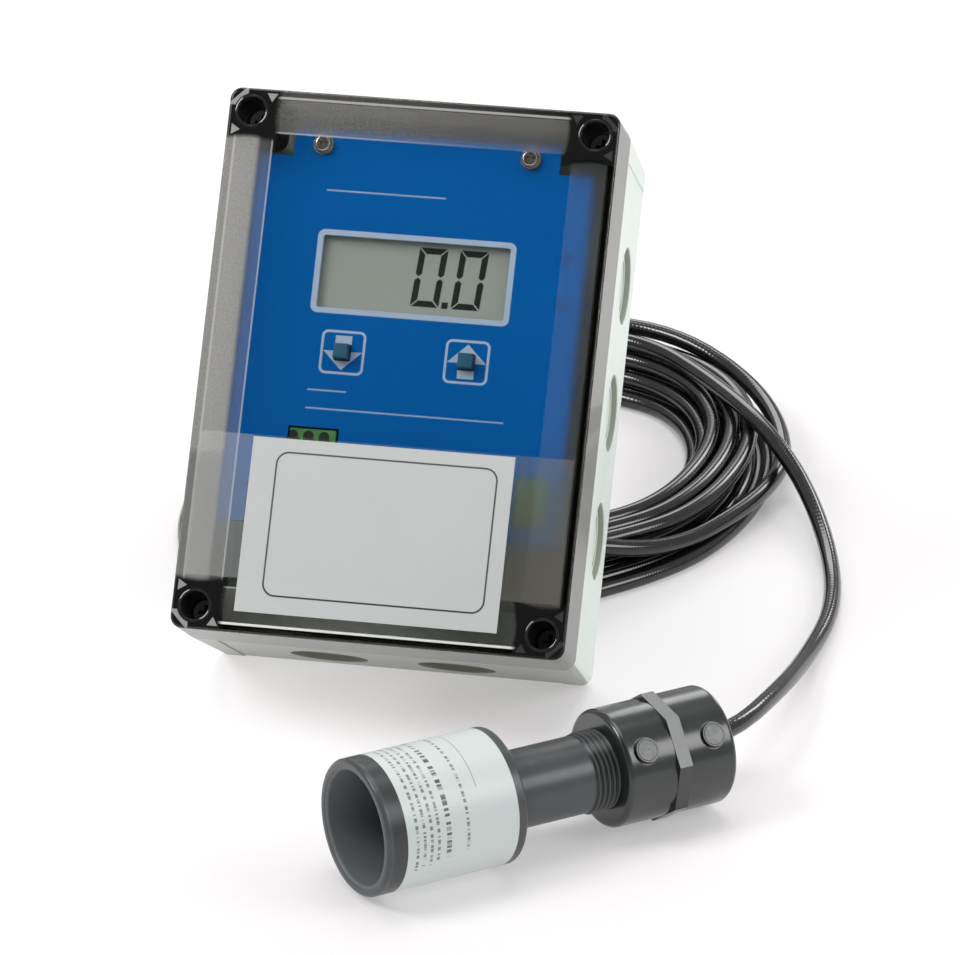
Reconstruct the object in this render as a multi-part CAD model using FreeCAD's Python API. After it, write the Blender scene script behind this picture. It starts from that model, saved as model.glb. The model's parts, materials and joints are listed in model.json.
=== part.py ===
import FreeCAD, Part
import math
import os

V = FreeCAD.Vector
os.makedirs("parts", exist_ok=True)

# All lengths are millimetres. The floor is z = 0 and +Z is up.
# The wall box is drawn upright in its own frame: x across, y from the front face
# back, z up from its lower edge. It is then leant back against the coiled cable.

# Wall box
box_width = 130.0
box_height = 180.0
box_depth = 75.0
cover_depth = 25.0
wall = 3.2
corner_round = 4.0
back_round = 3.0
draft_deg = 1.5
floor_thickness = 3.0
column = 16.0
column_round = 4.0
lean_deg = 34.0
box_place_x = -30.064
box_place_y = 36.577

# Knock-outs and flat side panels of the base
panel_step = 0.35
panel_margin = 10.6
panel_rim = 1.0
knockout_r = 13.0
knockout_deep = 2.2
knockout_ring_r = 9.5
knockout_ring_wide = 0.8
knockout_ring_deep = 0.25
knockout_pad_thick = 1.0
knockout_pad_rim = 1.6
knockout_pitch = 43.0
knockout_from_parting = 27.0

# Cover, its screws and its seal
front_thickness = 2.6
front_round = 1.0
partition = 2.2
well_inset = 7.8
well_r = 4.6
well_wall = 1.1
well_floor = 3.0
screw_head_r = 4.1
screw_head_high = 4.0
screw_shank_r = 2.2
screw_shank_gap = 0.3
screw_reach = 16.0
screw_slot_wide = 1.2
screw_slot_deep = 1.6
seal_wide = 1.0
seal_lip = 0.6
seal_deep = 1.2
seal_gap = 0.1

# Holes in the back of the corner columns for fixing feet
foot_hole_r = 2.0
foot_hole_deep = 12.0

# Tag card under a strip of clear tape
card_wide = 86.6
card_high = 57.6
card_x = -0.8
card_bottom = 7.0
card_thick = 0.3
tape_side_gap = 3.4
tape_bottom = 17.8
tape_over_card = 0.1
tape_top_margin = 0.6

# Printed faceplate
plate_depth = 14.0
plate_thick = 1.5
plate_side_gap = 9.0
plate_top_gap = 10.5
plate_bottom = 38.5
plate_notch_wide = 11.5
plate_notch_high = 8.5
plate_round = 1.0
mount_from_side = 21.3
mount_from_top = 4.1
mount_from_bottom = 8.5

# Circuit board and what holds it
board_depth = 26.0
board_thick = 1.6
board_side_inset = 2.0
board_end_inset = 1.5
board_notch = 13.0
post_r = 3.9
insert_r = 2.5
insert_long = 8.0
spacer_r = 3.0
m3_r = 1.45
m3_hole_r = 1.6
m3_head_r = 2.8
m3_head_high = 2.2
m3_slot_wide = 0.8
m3_slot_deep = 0.9
washer_r = 3.4
washer_thick = 0.5
m3_in_insert = 6.0
slip = 0.05

# Display
lcd_x = 0.0
lcd_z = 123.3
window_wide = 62.6
window_high = 24.2
window_round = 0.8
lcd_recess = 2.6
lcd_wide = 66.0
lcd_high = 28.0
lcd_thick = 2.8
lcd_frame_wall = 2.0
lcd_frame_lip = 1.2
header_pins = 12
header_pitch = 2.54
header_pin = 0.6

# Two setting buttons on push switches
button_x = 20.7
button_z = 96.6
button_side = 4.8
button_front = 10.0
button_round = 0.3
button_hole_gap = 0.4
plunger_r = 1.7
plunger_long = 1.8
plunger_gap = 0.3
press_travel = 0.3
press_spare = 0.1
switch_side = 6.2
switch_high = 3.5
cap_to_switch = 0.5

# Screw terminals on the board
terminal_pitch = 5.08
terminal_ways = 3
terminal_wide = 10.0
terminal_high = 12.6
terminal_well_r = 1.9
terminal_well_deep = 5.0
terminal_screw_r = 1.75
terminal_screw_high = 2.0
terminal_slot_wide = 0.6
terminal_slot_deep = 0.8
wire_hole_side = 3.0
wire_hole_deep = 6.0
sensor_terminal_x = -27.4
sensor_terminal_z = 65.4
relay_terminal_from_side = 9.5
relay_terminal_z = 52.0
terminal_hole_gap = 0.8

# Other pieces on the board
relay_size = (15.5, 9.4, 20.0)
relay_at = (8.0, 56.0)
chip_size = (12.0, 2.0, 12.0)
chip_at = (30.0, 76.0)
capacitor_r = 4.0
capacitor_high = 8.8
capacitor_at = ((-8.0, 72.0), (-8.0, 60.0))
led_r = 1.5
led_proud = 1.2
led_from_side = 6.0
led_z = (133.9, 118.0)
led_hole_gap = 0.2

# Sensor, drawn along +X from its mouth
cup_r = 22.0
cup_long = 50.0
cup_inner_r = 18.4
cup_deep = 32.0
cup_lip_round = 1.4
cup_back_round = 1.2
label_from = 7.0
label_to = 46.6
label_thick = 0.2
face_thick = 2.0
chamber_r = 16.4
piezo_r = 14.0
piezo_thick = 3.0
pad_thick = 6.0
neck_r = 12.6
neck_root_round = 2.0
thread_r = 12.3
thread_from = 80.0
thread_to = 109.0
cable_bore_r = 6.5
coupling_from = 88.6
coupling_long = 40.0
coupling_r = 19.2
coupling_round = 1.8
coupling_bore_r = 12.4
band_sides = 8
band_half = 19.3
band_wide = 4.7
gate_r = 3.9
gate_high = 1.0
gate_from_middle = 12.3
gate_angle_deg = 37.0
sensor_yaw_deg = 41.1
sensor_mouth_x = -13.704
sensor_mouth_y = -119.38

# Cable
cable_r = 3.0
lead_straight = 33.0
lead_points = (
    (104.9, 31.4, 3.05),
    (107.9, 87.4, 3.05),
    (99.9, 139.4, 3.05),
    (82.4, 184.4, 12.0),
    (64.4, 210.4, 18.0),
)
coil_x = -30.0
coil_y = 171.91
coil_long_half = 108.7
coil_short_half = 78.8
coil_end_r = 64.0
coil_turn_deg = 66.4
coil_wide = 35.0
coil_high = 23.5
coil_top_bevel = 7.0
coil_foot_bevel = 2.5

half_wide = box_width / 2.0
parting = cover_depth
draft = math.tan(math.radians(draft_deg))
back_floor = box_depth - floor_thickness
knockout_sunk = knockout_from_parting * draft + panel_step
tape_wide = box_width - 2.0 * tape_side_gap
plate_back = plate_depth + plate_thick
plate_wide = box_width - 2.0 * plate_side_gap
plate_top = box_height - plate_top_gap
mount_x = plate_wide / 2.0 - mount_from_side
mount_z_high = plate_top - mount_from_top
mount_z_low = plate_bottom + mount_from_bottom
board_back = board_depth + board_thick
board_wide = plate_wide - 2.0 * board_side_inset
board_top = plate_top - board_end_inset
board_bottom = plate_bottom + board_end_inset
relay_terminal_x = plate_wide / 2.0 - relay_terminal_from_side
led_x = plate_wide / 2.0 - led_from_side
band_middle = coupling_from + coupling_long / 2.0


def block(x0, x1, y0, y1, z0, z1):
    return Part.makeBox(x1 - x0, y1 - y0, z1 - z0, V(x0, y0, z0))


def rod(radius, y0, y1, x, z):
    return Part.makeCylinder(radius, y1 - y0, V(x, y0, z), V(0, 1, 0))


def round_outline(half, z0, z1, radius, y):
    """Closed outline of a rounded rectangle, upright, at depth y."""
    k = radius * (1.0 - math.sqrt(0.5))
    corners = (
        ((half - radius, z0), (half - k, z0 + k), (half, z0 + radius)),
        ((half, z1 - radius), (half - k, z1 - k), (half - radius, z1)),
        ((-half + radius, z1), (-half + k, z1 - k), (-half, z1 - radius)),
        ((-half, z0 + radius), (-half + k, z0 + k), (-half + radius, z0)),
    )
    edges = []
    for number, (start, middle, end) in enumerate(corners):
        points = [V(p[0], y, p[1]) for p in (start, middle, end)]
        edges.append(Part.Arc(*points).toShape())
        onward = corners[(number + 1) % 4][0]
        edges.append(Part.LineSegment(points[2], V(onward[0], y, onward[1])).toShape())
    return Part.Wire(edges)


def round_plate(half, z0, z1, radius, y0, y1, x=0.0):
    """Upright rounded rectangle, thick from y0 to y1."""
    face = Part.Face(round_outline(half, z0, z1, radius, y0))
    plate = face.extrude(V(0, y1 - y0, 0))
    plate.translate(V(x, 0, 0))
    return plate


def corner_places(inset):
    """The four corners of the box front, moved in by one inset."""
    x = half_wide - inset
    return [(sx * x, z) for sx in (-1, 1) for z in (inset, box_height - inset)]


def mount_places():
    return [(sx * mount_x, z) for sx in (-1, 1) for z in (mount_z_high, mount_z_low)]


def inner_prism(grow, y0, y1):
    """The space between the four corner columns, made larger all round by grow."""
    w = half_wide - wall + grow
    w_short = half_wide - column + grow
    h0 = wall - grow
    h0_short = column - grow
    wide = block(-w, w, y0, y1, h0_short, box_height - h0_short)
    tall = block(-w_short, w_short, y0, y1, h0, box_height - h0)
    cross = wide.fuse(tall).removeSplitter()
    inside = []
    for edge in cross.Edges:
        middle = edge.CenterOfMass
        if abs(abs(middle.x) - w_short) > 0.01:
            continue
        if min(abs(middle.z - h0_short), abs(middle.z - box_height + h0_short)) > 0.01:
            continue
        if abs(edge.Length - (y1 - y0)) < 0.01:
            inside.append(edge)
    return cross.makeFillet(column_round - grow, inside)


def knockout_cutter():
    """Round pocket with a ring groove in its floor, along -Z from the wall's face at z = 0."""
    pocket = Part.makeCylinder(knockout_r, knockout_deep + 5.0, V(0, 0, -knockout_deep))
    ring_base = V(0, 0, -knockout_deep - knockout_ring_deep)
    outer = Part.makeCylinder(knockout_ring_r + knockout_ring_wide, knockout_ring_deep + 0.1, ring_base)
    inner = Part.makeCylinder(knockout_ring_r, knockout_ring_deep + 0.1, ring_base)
    return pocket.fuse(outer.cut(inner))


def knockout_pad():
    """Round pad that thickens the wall inside a knock-out."""
    inner_face = knockout_sunk - wall
    foot = V(0, 0, inner_face - knockout_pad_thick)
    return Part.makeCylinder(knockout_r + knockout_pad_rim, knockout_pad_thick + 0.5, foot)


def knockout_sites():
    """Places of the knock-outs, each with +Z outward and z = 0 on its sunk side panel."""
    depth = parting + knockout_from_parting
    sites = []
    for side in (-1, 1):
        turn = FreeCAD.Rotation(V(0, 1, 0), side * 90.0)
        for row in (-1, 0, 1):
            at = V(side * (half_wide - knockout_sunk), depth, box_height / 2.0 + row * knockout_pitch)
            sites.append(FreeCAD.Placement(at, turn))
        turn = FreeCAD.Rotation(V(1, 0, 0), 0.0 if side > 0 else 180.0)
        for column_side in (-0.5, 0.5):
            z = box_height - knockout_sunk if side > 0 else knockout_sunk
            sites.append(FreeCAD.Placement(V(column_side * knockout_pitch, depth, z), turn))
    return sites


def side_panel(length, reach):
    """Wedge that sinks a drafted side by panel_step, with its outer plane at x = 0 of the parting."""
    y0 = parting + panel_rim
    y1 = box_depth + 1.0
    inset0 = (y0 - parting) * draft + panel_step
    inset1 = (y1 - parting) * draft + panel_step
    points = [V(-inset0, y0, 0), V(-inset1, y1, 0), V(reach, y1, 0), V(reach, y0, 0), V(-inset0, y0, 0)]
    return Part.Face(Part.makePolygon(points)).extrude(V(0, 0, length))


def base_housing():
    inset = (box_depth - parting) * draft
    front = round_outline(half_wide, 0.0, box_height, corner_round, parting)
    back = round_outline(half_wide - inset, inset, box_height - inset, corner_round, box_depth)
    shell = Part.makeLoft([front, back], True, True)
    rear = [e for e in shell.Edges if e.BoundBox.YMin > box_depth - 0.01]
    shell = shell.makeFillet(back_round, rear)
    cutters = []
    side_long = box_height - 2.0 * panel_margin
    end_long = box_width - 2.0 * panel_margin
    upright = side_panel(side_long, 5.0)
    level = side_panel(end_long, 5.0)
    for turn in (0.0, 180.0):
        panel = upright.copy()
        panel.translate(V(half_wide, 0, panel_margin))
        centre = V(0, 0, box_height / 2.0)
        panel.rotate(centre, V(0, 1, 0), turn)
        cutters.append(panel)
        panel = level.copy()
        panel.rotate(V(0, 0, 0), V(0, 1, 0), -90.0)
        panel.translate(V(half_wide - panel_margin, 0, box_height))
        panel.rotate(centre, V(0, 1, 0), turn)
        cutters.append(panel)
    shell = shell.cut(inner_prism(0.0, parting - 1.0, back_floor))
    sites = [site.toMatrix() for site in knockout_sites()]
    shell = shell.fuse([knockout_pad().transformed(site) for site in sites])
    cutters += [knockout_cutter().transformed(site) for site in sites]
    for x, z in corner_places(well_inset):
        pilot_end = cover_depth + screw_reach + 2.0
        cutters.append(rod(screw_shank_r + screw_shank_gap, parting - 1.0, pilot_end, x, z))
        cutters.append(rod(foot_hole_r, box_depth - foot_hole_deep, box_depth + 1.0, x, z))
    shell = shell.cut(cutters)
    posts = [rod(post_r, board_back, back_floor + 1.0, x, z) for x, z in mount_places()]
    shell = shell.fuse(posts)
    holes = [rod(insert_r + slip, board_back - 1.0, board_back + insert_long, x, z) for x, z in mount_places()]
    return shell.cut(holes).removeSplitter()


def cover():
    body = round_plate(half_wide, 0.0, box_height, corner_round, 0.0, cover_depth)
    front = [e for e in body.Edges if e.BoundBox.YMax < 0.01]
    body = body.makeFillet(front_round, front)
    body = body.cut(inner_prism(0.0, front_thickness, cover_depth + 1.0))
    inner_side = column - partition
    voids = []
    tubes = []
    bores = []
    for x, z in corner_places(well_inset):
        sx = 1.0 if x > 0 else -1.0
        x_out = sx * (half_wide - wall)
        x_in = sx * (half_wide - inner_side)
        z_out = wall if z < box_height / 2.0 else box_height - wall
        z_in = inner_side if z < box_height / 2.0 else box_height - inner_side
        voids.append(block(min(x_out, x_in), max(x_out, x_in), front_thickness, cover_depth + 1.0,
                           min(z_out, z_in), max(z_out, z_in)))
        tubes.append(rod(well_r + well_wall, front_thickness - 0.5, cover_depth - seal_gap, x, z))
        bores.append(rod(well_r, -1.0, cover_depth - seal_gap - well_floor, x, z))
        bores.append(rod(screw_shank_r + slip, 0.0, cover_depth + 1.0, x, z))
    body = body.cut(voids).fuse(tubes).cut(bores)
    groove = seal_ring(cover_depth - seal_deep, cover_depth + 1.0)
    return body.cut(groove).removeSplitter()


def seal_ring(y0, y1):
    return inner_prism(seal_lip + seal_wide, y0, y1).cut(inner_prism(seal_lip, y0 - 1.0, y1 + 1.0))


def cover_seal():
    return seal_ring(cover_depth - seal_deep, cover_depth - seal_gap / 2.0)


def slotted_screw(head_r, head_high, shank_r, shank_long, slot_wide, slot_deep):
    """Screw along +Y with the underside of its head at y = 0 and a cross recess in the head."""
    head = rod(head_r, -head_high, 0.0, 0, 0)
    shank = rod(shank_r, 0.0, shank_long, 0, 0)
    reach = head_r * 0.62
    y0 = -head_high - 1.0
    y1 = -head_high + slot_deep
    across = block(-reach, reach, y0, y1, -slot_wide / 2.0, slot_wide / 2.0)
    upright = block(-slot_wide / 2.0, slot_wide / 2.0, y0, y1, -reach, reach)
    return head.fuse(shank).cut(across.fuse(upright)).removeSplitter()


def set_out(shape, places, y):
    """One copy of a shape at each place, as a group of separate solids."""
    copies = []
    for x, z in places:
        copy = shape.copy()
        copy.translate(V(x, y, z))
        copies.append(copy)
    return Part.makeCompound(copies)


def cover_screws():
    seat = cover_depth - seal_gap - well_floor
    screw = slotted_screw(screw_head_r, screw_head_high, screw_shank_r, cover_depth + screw_reach - seat,
                          screw_slot_wide, screw_slot_deep)
    return set_out(screw, corner_places(well_inset), seat)


def tag_card():
    half = card_wide / 2.0
    return block(card_x - half, card_x + half, -card_thick, 0.0, card_bottom, card_bottom + card_high)


def tag_tape():
    half = tape_wide / 2.0
    top = card_bottom + card_high + tape_top_margin
    film = block(-half, half, -card_thick - tape_over_card, 0.0, tape_bottom, top)
    return film.cut(tag_card())


def terminal_places():
    """Centre, half width and half height of each terminal block seen from the front."""
    long_half = terminal_ways * terminal_pitch / 2.0
    short_half = terminal_wide / 2.0
    return {
        "sensor": (sensor_terminal_x, sensor_terminal_z, long_half, short_half),
        "relay": (relay_terminal_x, relay_terminal_z, short_half, long_half),
    }


def faceplate():
    plate = round_plate(plate_wide / 2.0, plate_bottom, plate_top, plate_round, plate_depth, plate_back)
    half = plate_wide / 2.0
    cutters = []
    for sx in (-1, 1):
        x0, x1 = sorted((sx * half * 1.1, sx * (half - plate_notch_wide)))
        cutters.append(block(x0, x1, 0, board_depth, plate_top - plate_notch_high, box_height))
        x = sx * button_x
        side = button_side / 2.0 + button_hole_gap
        cutters.append(block(x - side, x + side, 0, board_depth, button_z - side, button_z + side))
    for x, z in mount_places():
        cutters.append(rod(m3_hole_r, 0, board_depth, x, z))
    for z in led_z:
        cutters.append(rod(led_r + led_hole_gap, 0, board_depth, led_x, z))
    for x, z, across, high in terminal_places().values():
        a = across + terminal_hole_gap
        h = high + terminal_hole_gap
        cutters.append(block(x - a, x + a, 0, board_depth, z - h, z + h))
    window = round_plate(window_wide / 2.0, lcd_z - window_high / 2.0, lcd_z + window_high / 2.0,
                         window_round, 0.0, board_depth, lcd_x)
    cutters.append(window)
    return plate.cut(cutters).removeSplitter()


def circuit_board():
    half = board_wide / 2.0
    board = block(-half, half, board_depth, board_back, board_bottom, board_top)
    cutters = [rod(m3_hole_r, 0, box_depth, x, z) for x, z in mount_places()]
    for sx in (-1, 1):
        x0, x1 = sorted((sx * half * 1.1, sx * (half - board_notch)))
        cutters.append(block(x0, x1, 0, box_depth, board_top - board_notch, box_height))
    return board.cut(cutters).removeSplitter()


def faceplate_screws():
    long = washer_thick + plate_thick + (board_depth - plate_back) + board_thick + m3_in_insert
    screw = slotted_screw(m3_head_r, m3_head_high, m3_r, long, m3_slot_wide, m3_slot_deep)
    rim = [e for e in screw.Edges if abs(e.BoundBox.YMin + m3_head_high) < 0.01 and e.BoundBox.XLength > 5.0]
    screw = screw.makeFillet(0.9, rim)
    return set_out(screw, mount_places(), plate_depth - washer_thick)


def ring(outer_r, inner_r, y0, y1):
    return rod(outer_r, y0, y1, 0, 0).cut(rod(inner_r, y0 - 1.0, y1 + 1.0, 0, 0))


def faceplate_washers():
    return set_out(ring(washer_r, m3_hole_r, -washer_thick, 0.0), mount_places(), plate_depth)


def board_spacers():
    return set_out(ring(spacer_r, m3_hole_r, 0.0, board_depth - plate_back), mount_places(), plate_back)


def post_inserts():
    return set_out(ring(insert_r, m3_r + slip, 0.0, insert_long), mount_places(), board_back)


def lcd_cell():
    front = plate_depth + lcd_recess
    half_w = lcd_wide / 2.0
    half_h = lcd_high / 2.0
    return block(lcd_x - half_w, lcd_x + half_w, front, front + lcd_thick, lcd_z - half_h, lcd_z + half_h)


def lcd_frame():
    front = plate_back
    half_w = lcd_wide / 2.0 + slip
    half_h = lcd_high / 2.0 + slip
    w = half_w + lcd_frame_wall
    h = half_h + lcd_frame_wall
    frame = block(lcd_x - w, lcd_x + w, front, board_depth, lcd_z - h, lcd_z + h)
    seat = plate_depth + lcd_recess
    pocket = block(lcd_x - half_w, lcd_x + half_w, seat, seat + lcd_thick, lcd_z - half_h, lcd_z + half_h)
    win_w = half_w - lcd_frame_lip
    win_h = half_h - lcd_frame_lip
    view = block(lcd_x - win_w, lcd_x + win_w, front - 1.0, seat + 0.1, lcd_z - win_h, lcd_z + win_h)
    behind = block(lcd_x - win_w, lcd_x + win_w, seat, board_depth + 1.0, lcd_z - win_h, lcd_z + win_h)
    return frame.cut([pocket, view, behind])


def lcd_header():
    """Two rows of pins from the display's back to the board."""
    y0 = plate_depth + lcd_recess + lcd_thick
    pin = block(-header_pin / 2.0, header_pin / 2.0, y0, board_depth, -header_pin / 2.0, header_pin / 2.0)
    start = lcd_x - header_pitch * (header_pins - 1) / 2.0
    places = []
    for z in (lcd_z - lcd_high / 2.0 + 3.0, lcd_z + lcd_high / 2.0 - 3.0):
        places += [(start + n * header_pitch, z) for n in range(header_pins)]
    return set_out(pin, places, 0.0)


def push_button(x):
    inner = board_depth - switch_high - cap_to_switch
    side = button_side / 2.0
    cap = block(x - side, x + side, button_front, inner, button_z - side, button_z + side)
    edges = [e for e in cap.Edges if e.BoundBox.YMax < button_front + 0.01]
    cap = cap.makeFillet(button_round, edges)
    end = board_depth - switch_high + plunger_long
    return cap.fuse(rod(plunger_r, inner - 0.5, end, x, button_z)).removeSplitter()


def push_switch(x):
    front = board_depth - switch_high
    side = switch_side / 2.0
    body = block(x - side, x + side, front, board_depth, button_z - side, button_z + side)
    bore_deep = plunger_long + press_travel + press_spare
    return body.cut(rod(plunger_r + plunger_gap, front - 1.0, front + bore_deep, x, button_z))


def terminal_layout(across):
    """Offsets of the ways of a block, along x or along z."""
    start = -terminal_pitch * (terminal_ways - 1) / 2.0
    steps = [start + n * terminal_pitch for n in range(terminal_ways)]
    return [(s, 0.0) for s in steps] if across else [(0.0, s) for s in steps]


def terminal_block(name):
    x, z, half_x, half_z = terminal_places()[name]
    front = board_depth - terminal_high
    body = block(x - half_x, x + half_x, front, board_depth, z - half_z, z + half_z)
    cutters = []
    across = half_x > half_z
    hole_y = front + terminal_high * 0.62
    side = wire_hole_side / 2.0
    for dx, dz in terminal_layout(across):
        cutters.append(rod(terminal_well_r, front - 1.0, front + terminal_well_deep, x + dx, z + dz))
        if across:
            cutters.append(block(x + dx - side, x + dx + side, hole_y - side, hole_y + side,
                                 z - half_z - 1.0, z - half_z + wire_hole_deep))
        else:
            cutters.append(block(x - half_x - 1.0, x - half_x + wire_hole_deep, hole_y - side, hole_y + side,
                                 z + dz - side, z + dz + side))
    return body.cut(cutters)


def terminal_screws(name):
    x, z, half_x, half_z = terminal_places()[name]
    seat = board_depth - terminal_high + terminal_well_deep
    head = rod(terminal_screw_r, -terminal_screw_high, 0.0, 0, 0)
    slot = block(-terminal_screw_r, terminal_screw_r, -terminal_screw_high - 1.0,
                 -terminal_screw_high + terminal_slot_deep, -terminal_slot_wide / 2.0, terminal_slot_wide / 2.0)
    screw = head.cut(slot)
    places = [(x + dx, z + dz) for dx, dz in terminal_layout(half_x > half_z)]
    return set_out(screw, places, seat)


def board_piece(size, at):
    x, z = at
    return block(x - size[0] / 2.0, x + size[0] / 2.0, board_depth - size[1], board_depth,
                 z - size[2] / 2.0, z + size[2] / 2.0)


def capacitors():
    can = rod(capacitor_r, -capacitor_high, 0.0, 0, 0)
    rim = [e for e in can.Edges if e.BoundBox.YMax < 0.01 - capacitor_high]
    return set_out(can.makeFillet(0.6, rim), capacitor_at, board_depth)


def status_leds():
    dome_y = plate_depth - led_proud + led_r
    lamp = rod(led_r, dome_y, board_depth, 0, 0)
    dome = Part.makeSphere(led_r, V(0, dome_y, 0), V(0, -1, 0), 0, 90, 360)
    lamp = lamp.fuse(dome).removeSplitter()
    return set_out(lamp, [(led_x, z) for z in led_z], 0.0)


def along(radius, x0, x1):
    return Part.makeCylinder(radius, x1 - x0, V(x0, 0, 0), V(1, 0, 0))


def sensor_housing():
    cup = along(cup_r, 0.0, cup_long)
    edges = [e for e in cup.Edges if e.BoundBox.XLength < 0.01]
    front = [e for e in edges if e.BoundBox.XMax < 0.01]
    back = [e for e in edges if e.BoundBox.XMin > cup_long - 0.01]
    cup = cup.makeFillet(cup_lip_round, front)
    back = [e for e in cup.Edges if e.BoundBox.XLength < 0.01 and e.BoundBox.XMin > cup_long - 0.01]
    cup = cup.makeFillet(cup_back_round, back)
    neck = along(neck_r, cup_long - 1.0, thread_from)
    thread = along(thread_r, thread_from - 1.0, thread_to)
    body = cup.fuse([neck, thread]).removeSplitter()
    root = [e for e in body.Edges if e.BoundBox.XLength < 0.01 and abs(e.BoundBox.XMin - cup_long) < 0.01
            and abs(e.BoundBox.ZLength - 2.0 * neck_r) < 0.1]
    body = body.makeFillet(neck_root_round, root)
    chamber_end = cup_deep + face_thick + piezo_thick + pad_thick
    cutters = [
        along(cup_inner_r, -1.0, cup_deep + face_thick),
        along(chamber_r, cup_deep, chamber_end),
        along(cable_bore_r, chamber_end - 1.0, thread_to + 1.0),
        along(cup_r + 1.0, label_from, label_to).cut(along(cup_r - label_thick, label_from, label_to)),
    ]
    body = body.cut(cutters)
    rim = [e for e in body.Edges if e.BoundBox.XLength < 0.01 and e.BoundBox.XMax < 0.01
           and abs(e.BoundBox.ZLength - 2.0 * cup_inner_r) < 0.1]
    return body.makeFillet(cup_lip_round, rim)


def sensor_label():
    return along(cup_r, label_from, label_to).cut(along(cup_r - label_thick, label_from - 1.0, label_to + 1.0))


def sensor_insides():
    """The transducer face, the ceramic disc, its damping pad and the sealing compound."""
    disc_from = cup_deep + face_thick
    pad_from = disc_from + piezo_thick
    pad_to = pad_from + pad_thick
    return {
        "transducer_face": along(cup_inner_r - slip, cup_deep, disc_from),
        "piezo_disc": along(piezo_r, disc_from, pad_from),
        "damping_pad": along(chamber_r - slip, pad_from, pad_to),
        "sealing_compound": along(cable_bore_r - slip, pad_to, thread_to),
    }


def band_corners():
    """Corners of the coupling's wrench band; one of its flats faces the way of the gates."""
    step = 2.0 * math.pi / band_sides
    corner_r = band_half / math.cos(step / 2.0)
    angles = [math.radians(gate_angle_deg) + (n + 0.5) * step for n in range(band_sides)]
    return [(-corner_r * math.cos(a), corner_r * math.sin(a)) for a in angles]


def pipe_coupling():
    end = coupling_from + coupling_long
    sleeve = along(coupling_r, coupling_from, end)
    ends = [e for e in sleeve.Edges if e.BoundBox.XLength < 0.01]
    sleeve = sleeve.makeFillet(coupling_round, ends)
    points = [V(band_middle - band_wide / 2.0, y, z) for y, z in band_corners()]
    band = Part.Face(Part.makePolygon(points + points[:1])).extrude(V(band_wide, 0, 0))
    body = sleeve.fuse(band)
    gates = []
    angle = math.radians(gate_angle_deg)
    outward = V(0, -math.cos(angle), math.sin(angle))
    for side in (-1, 1):
        foot = V(band_middle + side * gate_from_middle, 0, 0) + outward * (coupling_r - 2.0)
        gates.append(Part.makeCylinder(gate_r, 2.0 + gate_high, foot, outward))
    body = body.fuse(gates)
    return body.cut(along(coupling_bore_r, coupling_from - 1.0, end + 1.0)).removeSplitter()


def rounded_route(points):
    """Straight runs joined by tangent arcs, and the arc radii."""
    edges = []
    radii = []
    at = points[0]
    for n in range(1, len(points) - 1):
        before = points[n - 1] - points[n]
        after = points[n + 1] - points[n]
        cut = 0.45 * min(before.Length, after.Length)
        turn = math.pi - before.getAngle(after)
        radius = cut / math.tan(turn / 2.0)
        into = before.normalize()
        out = after.normalize()
        start = points[n] + into * cut
        end = points[n] + out * cut
        middle_way = (into + out).normalize()
        centre_far = math.hypot(radius, cut)
        middle = points[n] + middle_way * (centre_far - radius)
        edges.append(Part.LineSegment(at, start).toShape())
        edges.append(Part.Arc(start, middle, end).toShape())
        radii.append(radius)
        at = end
    edges.append(Part.LineSegment(at, points[-1]).toShape())
    return Part.Wire(edges), radii


def tube(points, radius):
    route, radii = rounded_route(points)
    start = points[0]
    heading = (points[1] - points[0]).normalize()
    section = Part.Wire([Part.Circle(start, heading, radius).toShape()])
    solid = route.makePipeShell([section], True, False)
    print("cable radii", [round(r, 1) for r in radii], "length", round(route.Length, 1))
    print("cable volume share", round(solid.Volume / (math.pi * radius * radius * route.Length), 4))
    return solid


def coil_ring():
    """Oval ring of a bevelled section: two wide and two narrow bends about upright axes."""
    a = coil_long_half
    b = coil_short_half
    r_end = coil_end_r
    r_side = (a * a + b * b - 2.0 * a * r_end) / (2.0 * (b - r_end))
    end_shift = a - r_end
    side_shift = r_side - b
    split = math.degrees(math.atan2(side_shift, end_shift))

    def section(radius):
        inner = radius - coil_wide / 2.0
        outer = radius + coil_wide / 2.0
        corners = (
            (inner + coil_foot_bevel, 0),
            (outer - coil_foot_bevel, 0),
            (outer, coil_foot_bevel),
            (outer, coil_high - coil_top_bevel),
            (outer - coil_top_bevel, coil_high),
            (inner + coil_top_bevel, coil_high),
            (inner, coil_high - coil_top_bevel),
            (inner, coil_foot_bevel),
        )
        points = [V(across, 0, up) for across, up in corners]
        return Part.Face(Part.makePolygon(points + points[:1]))

    bends = (
        (V(end_shift, 0, 0), r_end, -split, 2.0 * split),
        (V(0, -side_shift, 0), r_side, split, 180.0 - 2.0 * split),
        (V(-end_shift, 0, 0), r_end, 180.0 - split, 2.0 * split),
        (V(0, side_shift, 0), r_side, 180.0 + split, 180.0 - 2.0 * split),
    )
    pieces = []
    for centre, radius, start, sweep in bends:
        face = section(radius)
        face.rotate(V(0, 0, 0), V(0, 0, 1), start)
        piece = face.revolve(V(0, 0, 0), V(0, 0, 1), sweep)
        piece.translate(centre)
        pieces.append(piece)
    ring_solid = pieces[0].fuse(pieces[1:]).removeSplitter()
    ring_solid.rotate(V(0, 0, 0), V(0, 0, 1), coil_turn_deg)
    ring_solid.translate(V(coil_x, coil_y, 0))
    return ring_solid


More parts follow.
